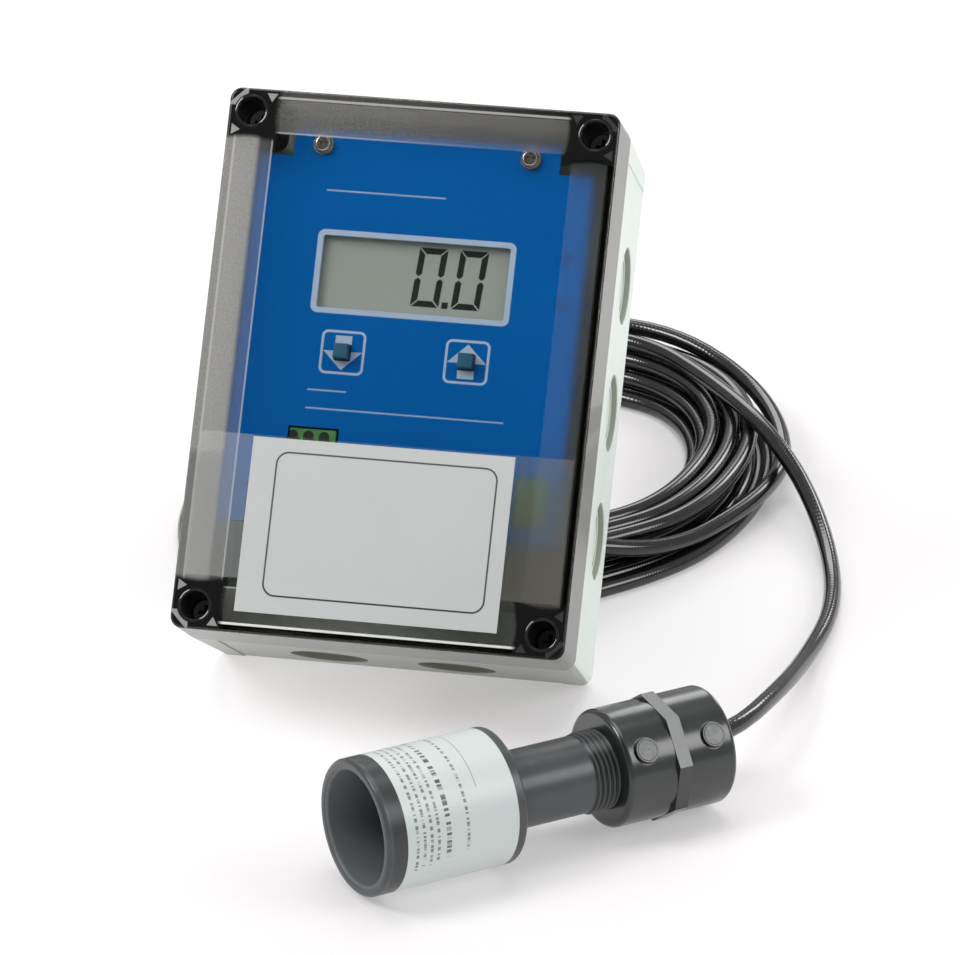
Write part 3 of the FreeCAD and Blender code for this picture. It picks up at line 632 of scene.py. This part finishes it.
tagLook = {
    "middle": (0.9 * mm, 36.5 * mm),
    "half": (36.4 * mm, 23.6 * mm),
    "round": 4.0 * mm,
    "line": 0.3 * mm,
    "soft": 0.08 * mm,
    "paper": ((0.515, 0.537, 0.523), (0.545, 0.565, 0.55)),
    "ink": (0.03, 0.032, 0.034),
}


def cardFinish():
    # pale card with one thin rounded frame
    material, s = newFinish("tag_paper")
    at = boxPlace(s)
    x, _, z = at.split()
    frameLine = abs(roundBox(x, z, tagLook["middle"], tagLook["half"], tagLook["round"]))
    ink = frameLine.fade(tagLook["line"] + tagLook["soft"], tagLook["line"] - tagLook["soft"])
    fibre = at.noise(900.0, 4.0)
    cloud = at.noise(30.0, 2.0)
    paper = cloud.tone(*tagLook["paper"])
    bump = s.add("Bump", {}, {"Strength": 0.2, "Distance": 0.00003, "Height": fibre})
    surface(s, {
        "Base Color": ink.tone(paper, tagLook["ink"]),
        "Roughness": 0.55 + (fibre - 0.5) * 0.1,
        "Normal": bump,
    })
    return material


tape = {
    "thick": 0.06 * mm,
    "lift": 0.03 * mm,  # clear of the card and the cover
    "slope": (0.3 * mm, 1.2 * mm),  # from the card's edge: where the film starts and ends its way down
    "hazyFrom": (-44.0 * mm, -44.6 * mm),
    "mattFrom": (42.6 * mm, 43.4 * mm),
    "film": ((0.80, 0.83, 0.83), (0.9, 0.92, 0.92)),
    "matt": (0.92, 0.87, 0.78),
    "through": (0.96, 0.96, 0.955),
}


def tapeFinish():
    # film: clear on the card, hazy to its left, and matt to its right, where it blurs what lies deeper
    material, s = newFinish("clear_film")
    at = boxPlace(s)
    x, _, _ = at.split()
    haze = at.noise(35.0, 3.0)
    left, right = x.fade(*tape["hazyFrom"]), x.fade(*tape["mattFrom"])
    surface(s, {
        "Base Color": haze.tone(*tape["film"]),
        "Roughness": 0.25 + haze * 0.08,
        "Alpha": 0.022 + haze * 0.014 + left * 0.05,
        "Specular IOR Level": 0.15,
    }, through=tape["through"], layers=(
        (right, {
            "Base Color": (*tape["matt"], 1.0),
            "Roughness": 0.54,
            "Transmission Weight": 1.0,
            "IOR": 1.3,
            "Specular IOR Level": 0.3,
        }),
    ))
    return material


def makeTape():
    # one film that lies over the card and comes down to the cover beside it, a strip swept up the box
    toBox = np.array((boxAcross, boxInward, boxUpward)).T
    film = (nodePoints("tag_tape") - boxStart) @ toBox
    card = (nodePoints("tag_card") - boxStart) @ toBox
    left, right = card[:, 0].min(), card[:, 0].max()
    start, end = tape["slope"]
    filmLeft, filmRight = film[:, 0].min(), film[:, 0].max()
    across = np.array((filmLeft, left - end, left - start, right + start, right + end, filmRight))
    back = -tape["lift"] + np.array((0, 0, 1, 1, 0, 0)) * card[:, 1].min()
    ring = np.vstack((np.stack((across, back), 1), np.stack((across, back - tape["thick"]), 1)[::-1]))
    rows = [np.insert(ring, 2, up, axis=1) for up in (film[:, 2].min(), film[:, 2].max())]
    points = np.vstack(rows) @ toBox.T + boxStart
    count = len(ring)
    side = [(i + count, (i + 1) % count + count, (i + 1) % count, i) for i in range(count)]
    half = count // 2
    ends = [(count - 2 - i, count - 1 - i, i, i + 1) for i in range(half - 1)]
    ends += [tuple(k + count for k in reversed(face)) for face in ends]
    mesh = bpy.data.meshes.new("tapeFilm")
    mesh.from_pydata(points, [], side + ends)
    mesh.update()
    piece = bpy.data.objects.new("tapeFilm", mesh)
    bpy.context.scene.collection.objects.link(piece)
    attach(piece, "cover")
    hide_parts("tag_tape")
    return piece


tapeFilm = makeTape()
print("tape laid")


# faceplate print, display and keys

printLook = {
    "blue": (0.0, 0.15, 0.56),
    "white": (0.50, 0.66, 0.86),
    "displayMiddle": (0.0, 123.3 * mm),
    "displayHalf": (33.15 * mm, 13.95 * mm),
    "displayRound": 2.4 * mm,
    "keyMiddles": ((-20.7 * mm, 96.6 * mm, -1.0), (20.7 * mm, 96.6 * mm, 1.0)),  # across, up, arrow's way
    "keyHalf": (7.0 * mm, 6.9 * mm),
    "keyRound": 1.8 * mm,
    "keyLine": 0.42 * mm,
    "soft": 0.07 * mm,
    "headHigh": 5.9 * mm,
    "headFoot": -0.4 * mm,
    "headWide": 6.1 * mm,
    "stemHalf": 2.75 * mm,
    "stemReach": 5.6 * mm,
    "ruleInk": 0.75,
    "rules": (  # plain thin rules: middle across, up, half width, half height
        (-12.0 * mm, 150.3 * mm, 20.0 * mm, 0.28 * mm),
        (2.0 * mm, 77.5 * mm, 33.0 * mm, 0.28 * mm),
        (-24.5 * mm, 83.6 * mm, 6.5 * mm, 0.28 * mm),
    ),
}


def plateFinish():
    # blue print with a pale display field, two keys' outlines and arrows, and plain rules
    material, s = newFinish("plate_print")
    at = boxPlace(s)
    x, _, z = at.split()
    soft, line, foot = printLook["soft"], printLook["keyLine"], printLook["headFoot"]
    stemHalf, halfReach = printLook["stemHalf"], printLook["stemReach"] / 2
    slope = printLook["headWide"] / printLook["headHigh"]
    field = roundBox(x, z, printLook["displayMiddle"], printLook["displayHalf"], printLook["displayRound"])
    ink = field.fade(soft, -soft)
    for middleX, middleZ, way in printLook["keyMiddles"]:
        outline = abs(roundBox(x, z, (middleX, middleZ), printLook["keyHalf"], printLook["keyRound"]))
        ink = ink.highest(outline.fade(line + soft, line - soft))
        side, rise = abs(x - middleX), (z - middleZ) * way
        head = (printLook["headHigh"] - rise) * slope - side  # inside the head's slanted sides
        ink = ink.highest(head.fade(-soft, soft) * rise.fade(foot - soft, foot + soft))
        stem = side.fade(stemHalf + soft, stemHalf - soft)
        ink = ink.highest(stem * abs(rise + halfReach).fade(halfReach + soft, halfReach - soft))
    for middleX, middleZ, halfX, halfZ in printLook["rules"]:
        rule = roundBox(x, z, (middleX, middleZ), (halfX, halfZ), halfZ * 0.9)
        ink = ink.highest(rule.fade(soft, -soft) * printLook["ruleInk"])
    fine = at.noise(1500.0, 2.0)
    cloud = at.noise(22.0, 2.0)
    deep = tuple(c * 0.9 for c in printLook["blue"])
    bump = s.add("Bump", {}, {"Strength": 0.2, "Distance": 0.00003, "Height": fine + ink * 0.6})
    surface(s, {
        "Base Color": ink.tone(cloud.tone(deep, printLook["blue"]), printLook["white"]),
        "Roughness": 0.5 + (fine - 0.5) * 0.1 - ink * 0.05,
        "Normal": bump,
        "Specular IOR Level": 0.04,
    })
    return material


digitLook = {
    "zero": ((4.75 * mm, 0.8 * mm), (18.35 * mm, 0.8 * mm)),  # digit middles from the display's middle
    "half": (4.75 * mm, 9.9 * mm),
    "stroke": 2.1 * mm,
    "gap": 0.22 * mm,
    "soft": 0.06 * mm,
    "slant": 0.075,
    "point": (11.5 * mm, -8.1 * mm, 1.05 * mm, 0.15 * mm),  # across, up, half size, rounding
    "cell": ((0.40, 0.465, 0.43), (0.43, 0.495, 0.46)),
    "ink": (0.012, 0.02, 0.018),
}


def displayFinish():
    # grey-green cell; a seven-stroke nought is a ring cut at its corners and its waist
    material, s = newFinish("display_glass")
    at = boxPlace(s)
    x, _, z = at.split()
    stroke, gap, soft = digitLook["stroke"], digitLook["gap"], digitLook["soft"]
    centreX, centreZ = printLook["displayMiddle"]
    up = z - centreZ
    over = x - centreX - up * digitLook["slant"]
    halfX, halfZ = digitLook["half"]
    pointX, pointZ, pointHalf, pointRound = digitLook["point"]
    ink = roundBox(over, up, (pointX, pointZ), (pointHalf, pointHalf), pointRound).fade(soft, -soft)
    for middleX, middleZ in digitLook["zero"]:
        side, rise = abs(over - middleX), abs(up - middleZ)
        toSide, toTop = side - halfX, rise - halfZ
        outer = toSide.highest(toTop)
        ring = outer.fade(soft, -soft) * outer.fade(-stroke - soft, -stroke + soft)
        corner = abs(toSide - toTop).fade(gap * 1.4 - soft, gap * 1.4 + soft)
        notch = rise - abs(side - (halfX - stroke / 2)) * 0.8  # the strokes come to a point at the waist
        waist = notch.fade(gap - soft, gap + soft)
        ink = ink.highest(ring * corner * waist)
    fine = at.noise(1200.0, 2.0)
    surface(s, {
        "Base Color": ink.tone(fine.tone(*digitLook["cell"]), digitLook["ink"]),
        "Roughness": 0.3 + (fine - 0.5) * 0.08,
        "Coat Weight": 0.35,
        "Coat Roughness": 0.12,
    })
    return material


# sensor label: pale film with plain rows of ticks and one thin rule

labelLook = {
    "radius": 22.2 * mm,
    "small": (0.5 * mm, 1.0, 0.75),  # half height of a row, its ticks' closeness, its ink
    "large": (0.85 * mm, 0.7, 0.92),
    "rows": (  # from the mouth, kind
        (10.5 * mm, "small"),
        (13.0 * mm, "small"),
        (15.5 * mm, "small"),
        (18.0 * mm, "small"),
        (21.6 * mm, "large"),
        (28.5 * mm, "small"),
    ),
    "rowMiddle": (13.0 * mm, 0.9 * mm),  # round from the top, and how much less from row to row
    "rowReach": (31.0 * mm, 30.0 * mm),
    "rule": (33.6 * mm, 6.0 * mm, 13.0 * mm, 0.6),  # from the mouth, round from the top, reach, ink
    "film": ((0.585, 0.635, 0.62), (0.625, 0.675, 0.66)),
    "ink": (0.05, 0.055, 0.06),
}


def labelFinish():
    material, s = newFinish("label_film")
    at = sensorPlace(s)
    x, y, z = at.split()
    around = s.math("ARCTAN2", y, z) * labelLook["radius"]
    fine = at.noise(1400.0, 2.0)
    cloud = at.noise(40.0, 2.0)
    ruleAt, ruleMiddle, ruleReach, ruleInk = labelLook["rule"]
    rule = abs(x - ruleAt).fade(0.2 * mm, 0.08 * mm)
    ink = rule * abs(around + ruleMiddle).fade(ruleReach + 0.2 * mm, ruleReach) * ruleInk
    first, less = labelLook["rowMiddle"]
    for number, (place, kind) in enumerate(labelLook["rows"]):
        high, close, strength = labelLook[kind]
        lane = abs(x - place).fade(high + 0.08 * mm, high - 0.08 * mm)
        spot = s.add("CombineXYZ", {}, {0: around * close, 1: number * 3.7, 2: 0.0})
        marks = spot.noise(820.0, 1.0).fade(0.46, 0.54) * spot.noise(95.0, 1.0).fade(0.30, 0.36)
        reach = abs(around + (first - number * less)).fade(*labelLook["rowReach"])
        ink = ink.highest(lane * marks * reach * strength)
    bump = s.add("Bump", {}, {"Strength": 0.2, "Distance": 0.00002, "Height": fine})
    surface(s, {
        "Base Color": ink.tone(cloud.tone(*labelLook["film"]), labelLook["ink"]),
        "Roughness": 0.36 + (fine - 0.5) * 0.1,
        "Normal": bump,
    })
    return material


# thread between the sensor's neck and the coupling

thread = {
    "start": 80.2 * mm,
    "end": 89.4 * mm,
    "root": 12.32 * mm,
    "crest": 13.25 * mm,
    "pitch": 1.81 * mm,
    "around": 96,
    "across": 8,
    "flat": 1.25,  # the crest is cut flat where the ridge would rise above 1
    "flank": 3.2,
    "runOut": 1.2 * mm,
}


def makeThread():
    # radius rises and falls once per pitch along the axis, shifted by the turn, and grows from the neck on
    turns = (thread["end"] - thread["start"]) / thread["pitch"]
    along = np.linspace(thread["start"], thread["end"], int(turns * thread["across"]) + 1)
    angle = np.linspace(0, 2 * np.pi, thread["around"], endpoint=False)
    along, angle = np.meshgrid(along, angle, indexing="ij")
    phase = (along / thread["pitch"] - angle / (2 * np.pi)) % 1.0
    ridge = np.clip(thread["flat"] - np.abs(phase - 0.5) * thread["flank"], 0, 1)
    runOut = np.clip((along - thread["start"]) / thread["runOut"], 0, 1)
    radius = thread["root"] + (thread["crest"] - thread["root"]) * ridge * runOut
    points = (
        sensorMouth
        + along[..., None] * sensorAlong
        + (radius * np.cos(angle))[..., None] * sensorSideways
        + (radius * np.sin(angle))[..., None] * sensorUp
    )
    rows, columns = along.shape
    index = np.arange(rows * columns).reshape(rows, columns)
    nextColumn = np.roll(index, -1, axis=1)
    faces = np.stack((index[:-1], nextColumn[:-1], nextColumn[1:], index[1:]), -1).reshape(-1, 4)
    mesh = bpy.data.meshes.new("neckThread")
    mesh.from_pydata(points.reshape(-1, 3), [], faces[:, ::-1].tolist())
    mesh.shade_smooth()
    mesh.update()
    piece = bpy.data.objects.new("neckThread", mesh)
    bpy.context.scene.collection.objects.link(piece)
    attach(piece, "transmitter")
    return piece


neckThread = makeThread()
print("thread cut")


# finishes on every CAD node

boardLook = {
    "laminate": (0.012, 0.10, 0.035),
    "runs": (0.03, 0.19, 0.07),
    "runScale": 210.0,
    "runEdge": (0.10, 0.07),
}


def boardFinish():
    # green laminate with paler copper runs under the lacquer
    material, s = newFinish("board_laminate")
    at = boxPlace(s)
    kind = {"feature": "DISTANCE_TO_EDGE", "distance": "MANHATTAN"}
    cells = s.add("TexVoronoi", kind, {"Vector": at, "Scale": boardLook["runScale"]})
    runs = cells.fade(*boardLook["runEdge"])
    fine = at.noise(900.0, 2.0)
    surface(s, {
        "Base Color": runs.tone(boardLook["laminate"], boardLook["runs"]),
        "Roughness": 0.3 + (fine - 0.5) * 0.1,
        "Coat Weight": 0.3,
    })
    return material


baseLook = {
    "pale": ((0.74, 0.81, 0.76), (0.785, 0.85, 0.80)),
    # painted shade in the knock-outs: recess floor, its side and its ring groove
    "sunk": (0.66, 0.72, 0.65),
    "wall": (0.34, 0.365, 0.32),
    "groove": (0.44, 0.48, 0.42),
    # painted shade on the face that the box stands on, and in its knock-outs
    "under": (0.34, 0.36, 0.325),
    "underSunk": (0.24, 0.255, 0.21),
    "discDepth": 52.0 * mm,  # knock-outs: from the front, apart, radius, ring radius
    "discApart": 43.0 * mm,
    "discRadius": 13.0 * mm,
    "ringRadius": 9.9 * mm,
    "discTop": (1.4 * mm, 1.8 * mm),
    "discFloor": (3.75 * mm, 3.6 * mm),
    "underEdge": (2.6 * mm, 2.0 * mm),
    "halfWide": 65.0 * mm,
    "halfHigh": 90.0 * mm,
}


def baseFinish():
    # pale moulding with painted shade in the knock-outs and on the face that the box stands on
    material, s = newFinish("base_plastic")
    at = boxPlace(s)
    x, y, z = at.split()
    mottle = at.noise(40.0, 3.0)
    fine = at.noise(1500.0, 1.0)
    apart, radius = baseLook["discApart"], baseLook["discRadius"]
    deep = y - baseLook["discDepth"]
    rise = abs(z - baseLook["halfHigh"])

    def discs(along, inset):
        # how far a point lies in a knock-out, on the recess's side and in its ring, which get painted shade; inset
        # from the box's outer size
        away = s.math("SQRT", deep * deep + along * along)
        sunk = inset.fade(*baseLook["discTop"]) * inset.fade(*baseLook["discFloor"])
        disc = away.fade(radius + 0.2 * mm, radius) * sunk
        wall = disc * away.fade(radius - 0.4 * mm, radius - 0.05 * mm)
        ring = disc * abs(away - baseLook["ringRadius"]).fade(0.6 * mm, 0.35 * mm)
        return disc, wall, ring

    side = discs(rise.lowest(abs(rise - apart)), baseLook["halfWide"] - abs(x))
    ends = discs(abs(x) - apart / 2, baseLook["halfHigh"] - rise)
    disc, wall, ring = (a.highest(b) for a, b in zip(side, ends))
    shade = mottle.fade(0.3, 0.7).tone(*baseLook["pale"])
    # painted shade in the knock-outs
    shade = disc.tone(shade, baseLook["sunk"])
    shade = wall.tone(shade, baseLook["wall"])
    shade = ring.tone(shade, baseLook["groove"])
    # painted shade on the face that the box stands on, and deeper in its knock-outs
    shade = z.fade(*baseLook["underEdge"]).tone(shade, baseLook["under"])
    shade = (ends[0] * z.fade(20.0 * mm, 10.0 * mm)).tone(shade, baseLook["underSunk"])
    bump = s.add("Bump", {}, {"Strength": 0.5, "Distance": 0.00005, "Height": fine})
    surface(s, {
        "Base Color": shade,
        "Roughness": 0.42 + (mottle - 0.5) * 0.1 + (fine - 0.5) * 0.1,
        "Normal": bump,
    })
    return material


terminalLook = {
    "green": ((0.06, 0.25, 0.075), (0.09, 0.32, 0.10)),
    "wellsAcross": (-34.0 * mm, -28.75 * mm, -23.5 * mm),
    "wellsUp": 66.7 * mm,
    "wellHalf": (1.75 * mm, 3.1 * mm),
    # painted shade in the screw wells
    "wellShadeTone": (0.010, 0.022, 0.010),
}


def terminalFinish():
    # green blocks; the sensor block's screw wells are painted shade, each a dark rounded slot up its face
    material, s = newFinish("terminal_plastic")
    at = boxPlace(s)
    x, _, z = at.split()
    half = terminalLook["wellHalf"]
    wellShadeSlots = None
    for middle in terminalLook["wellsAcross"]:
        slot = roundBox(x, z, (middle, terminalLook["wellsUp"]), half, half[0] * 0.98)
        wellShadeSlots = slot if wellShadeSlots is None else wellShadeSlots.lowest(slot)
    # painted shade of the screw wells
    wellShadeSlots = wellShadeSlots.fade(0.12 * mm, -0.12 * mm)
    mottle = at.noise(200.0, 4.0)
    fine = at.noise(900.0, 2.0)
    green = mottle.fade(0.3, 0.7).tone(*terminalLook["green"])
    surface(s, {
        "Base Color": wellShadeSlots.tone(green, terminalLook["wellShadeTone"]),
        "Roughness": 0.4 + (mottle - 0.5) * 0.1 + (fine - 0.5) * 0.1,
    })
    return material


def turnedLines(at):
    # faint lines round the sensor's axis, and a soft mottle
    return at.noise(60.0, 3.0, 0.5, (22.0, 1.0, 1.0)), at.noise(70.0, 4.0)


def turnedGrain(s, at):
    # the same with a bump that adds a fine grain to the lines
    rings, mottle = turnedLines(at)
    fine = at.noise(1100.0, 2.0)
    bump = s.add("Bump", {}, {"Strength": 0.4, "Distance": 0.00003, "Height": rings * 0.7 + fine * 0.5})
    return rings, mottle, bump


couplingLook = {
    "gateMiddle": 108.6 * mm,
    "gateApart": 12.3 * mm,
    "gateRadius": 3.9 * mm,
    "gateTurn": math.radians(37.0),
    "discEdge": (3.5 * mm, 3.1 * mm),
    "discOut": (19.0 * mm, 19.6 * mm),  # how far out from the axis the discs' faces lie
    "grooveOut": (15.0 * mm, 17.0 * mm),
    "plain": ((0.0125, 0.0155, 0.015), (0.019, 0.023, 0.0225)),
    "scar": (0.078, 0.082, 0.080),
    "groove": (0.006, 0.0065, 0.007),
}


def couplingFinish():
    # near-black glossy moulding with two scarred gate discs
    material, s = newFinish("coupling_pvc")
    at = sensorPlace(s)
    x, y, z = at.split()
    along = abs(x - couplingLook["gateMiddle"]) - couplingLook["gateApart"]
    turn = couplingLook["gateTurn"]
    sideways = y * math.sin(turn) + z * math.cos(turn)
    outward = z * math.sin(turn) - y * math.cos(turn)
    fromGate = s.math("SQRT", along * along + sideways * sideways)
    disc = fromGate.fade(*couplingLook["discEdge"]) * outward.fade(*couplingLook["discOut"])
    groove = abs(fromGate - couplingLook["gateRadius"]).fade(0.7 * mm, 0.2 * mm)
    groove = groove * outward.fade(*couplingLook["grooveOut"])
    scar = at.noise(330.0, 4.0, 0.7)
    rings, mottle = turnedLines(at)
    height = rings * 0.5 + disc * scar * 6.0 - groove * 3.0
    bump = s.add("Bump", {}, {"Strength": 0.4, "Distance": 0.00006, "Height": height})
    plain = mottle.fade(0.3, 0.7).tone(*couplingLook["plain"])
    scarred = (disc * scar.fade(0.35, 0.7)).tone(plain, couplingLook["scar"])
    surface(s, {
        "Base Color": groove.tone(scarred, couplingLook["groove"]),
        "Roughness": 0.24 + (rings - 0.5) * 0.08 + (mottle - 0.5) * 0.1 + disc * 0.1,
        "Specular IOR Level": 0.58,
        "Coat Weight": 0.35,
        "Coat Roughness": 0.14,
        "Normal": bump,
    })
    return material


housingLook = {
    "boreEdge": (19.2 * mm, 18.6 * mm),  # inside the cup: out from the axis, and from the mouth
    "boreEnd": (40.0 * mm, 36.0 * mm),
    # painted light inside the cup fades over these
    "cupLightFade": (4.0 * mm, 30.0 * mm),
    # painted shade at the bottom of the thread
    "threadEdge": (12.95 * mm, 12.5 * mm),
    "threadStart": (79.5 * mm, 81.0 * mm),
    "threadEnd": (90.0 * mm, 89.6 * mm),
    "bandStart": (1.6 * mm, 2.6 * mm),  # darker band between the rim and the label
    "bandEnd": (10.0 * mm, 9.0 * mm),
    "grey": ((0.050, 0.055, 0.057), (0.067, 0.073, 0.075)),
    "band": (0.032, 0.035, 0.036),
    "cupPaintedLight": ((0.17, 0.185, 0.19), (0.075, 0.081, 0.084)),  # painted light: near the mouth, deep in the cup
    # painted shade at the bottom of the thread
    "groove": (0.012, 0.013, 0.0135),
    "face": ((0.070, 0.076, 0.078), (0.085, 0.091, 0.094)),
}


def housingFinish():
    # dark grey turned plastic; paler inside the cup with painted light, less of it deep in; painted shade at the
    # bottom of the thread
    material, s = newFinish("sensor_pvc")
    at = sensorPlace(s)
    x, y, z = at.split()
    radius = s.math("SQRT", y * y + z * z)
    inside = radius.fade(*housingLook["boreEdge"]) * x.fade(*housingLook["boreEnd"])
    threadLong = x.fade(*housingLook["threadStart"]) * x.fade(*housingLook["threadEnd"])
    # painted shade at the bottom of the thread, on the thread piece too
    groove = radius.fade(*housingLook["threadEdge"]) * threadLong
    band = x.fade(*housingLook["bandStart"]) * x.fade(*housingLook["bandEnd"])
    rings, mottle, bump = turnedGrain(s, at)
    grey = mottle.fade(0.3, 0.7).tone(*housingLook["grey"])
    grey = band.tone(grey, housingLook["band"])
    # painted light inside the cup, strongest near the mouth
    cupPaintedLight = (x.fade(*housingLook["cupLightFade"]) + (mottle - 0.5) * 0.3).tone(*housingLook["cupPaintedLight"])
    surface(s, {
        "Base Color": groove.tone(inside.tone(grey, cupPaintedLight), housingLook["groove"]),
        "Roughness": 0.32 + (rings - 0.5) * 0.1 + (mottle - 0.5) * 0.12 + inside * 0.2,
        "Normal": bump,
    })
    return material


def faceFinish():
    # the transducer's face at the bottom of the cup
    material, s = newFinish("face_plastic")
    at = sensorPlace(s)
    rings, mottle, bump = turnedGrain(s, at)
    surface(s, {
        "Base Color": mottle.fade(0.3, 0.7).tone(*housingLook["face"]),
        "Roughness": 0.5 + (rings - 0.5) * 0.1 + (mottle - 0.5) * 0.12,
        "Normal": bump,
    })
    return material


plainLook = {  # darkest and palest tone, roughness, and what differs from a plain moulding
    "seal_rubber": ((0.015, 0.015, 0.015), (0.03, 0.03, 0.03), 0.7, {}),
    # near black: painted shade on the screws deep in the cover's wells
    "screw_plastic": ((0.004, 0.004, 0.004), (0.009, 0.009, 0.009), 0.5, {}),
    "spacer_plastic": ((0.60, 0.58, 0.52), (0.68, 0.66, 0.60), 0.5, {}),
    "frame_plastic": ((0.015, 0.016, 0.018), (0.03, 0.03, 0.032), 0.45, {}),
    "switch_plastic": ((0.02, 0.02, 0.022), (0.04, 0.04, 0.042), 0.4, {}),
    "button_plastic": ((0.010, 0.105, 0.21), (0.016, 0.14, 0.26), 0.45, {"spread": 0.1, "scale": 300.0}),
    "relay_case": ((0.015, 0.06, 0.16), (0.02, 0.08, 0.21), 0.35, {}),
    "chip_epoxy": ((0.012, 0.012, 0.013), (0.025, 0.025, 0.026), 0.55, {}),
    "can_metal": ((0.03, 0.03, 0.035), (0.06, 0.06, 0.07), 0.35, {}),
    "lamp_lens": ((0.012, 0.10, 0.36), (0.02, 0.12, 0.40), 0.4, {"spread": 0.06}),
    "piezo_ceramic": ((0.55, 0.50, 0.42), (0.64, 0.60, 0.52), 0.5, {}),
    "compound_epoxy": ((0.02, 0.02, 0.02), (0.04, 0.04, 0.04), 0.25, {}),
    "pad_cork": ((0.22, 0.13, 0.07), (0.38, 0.25, 0.14), 0.8, {
        "spread": 0.1, "scale": 350.0, "grain": 700.0, "depth": 0.0001,
    }),
    "brass_insert": ((0.55, 0.38, 0.12), (0.70, 0.50, 0.18), 0.3, {"Metallic": 1.0}),
    "pin_metal": ((0.65, 0.55, 0.32), (0.80, 0.70, 0.45), 0.25, {"Metallic": 1.0}),
    "terminal_steel": ((0.50, 0.50, 0.48), (0.66, 0.66, 0.63), 0.3, {"Metallic": 1.0}),
    "bright_steel": ((0.66, 0.63, 0.57), (0.84, 0.81, 0.74), 0.10, {
        "spread": 0.06, "scale": 400.0, "Metallic": 1.0,
    }),
    "yellow_washer": ((0.84, 0.62, 0.26), (0.95, 0.74, 0.36), 0.24, {
        "spread": 0.12, "scale": 500.0, "Metallic": 1.0,
    }),
}
finishes = {slot: plainFinish(slot, *look[:3], **look[3]) for slot, look in plainLook.items()}
finishes.update({
    "base_plastic": baseFinish(),
    "smoked_plastic": coverFinish(),
    "tag_paper": cardFinish(),
    "clear_film": tapeFinish(),
    "plate_print": plateFinish(),
    "board_laminate": boardFinish(),
    "display_glass": displayFinish(),
    "terminal_plastic": terminalFinish(),
    "sensor_pvc": housingFinish(),
    "label_film": labelFinish(),
    "coupling_pvc": couplingFinish(),
    "face_plastic": faceFinish(),
})
for part in record["subparts"]:
    if part["material_slot"] in finishes:
        mesh = nodes[part["node"]].data
        mesh.materials.clear()
        mesh.materials.append(finishes[part["material_slot"]])
neckThread.data.materials.append(finishes["sensor_pvc"])
tapeFilm.data.materials.append(finishes["clear_film"])
print("finishes on", len(finishes), "wellShadeSlots")

bpy.context.view_layer.update()
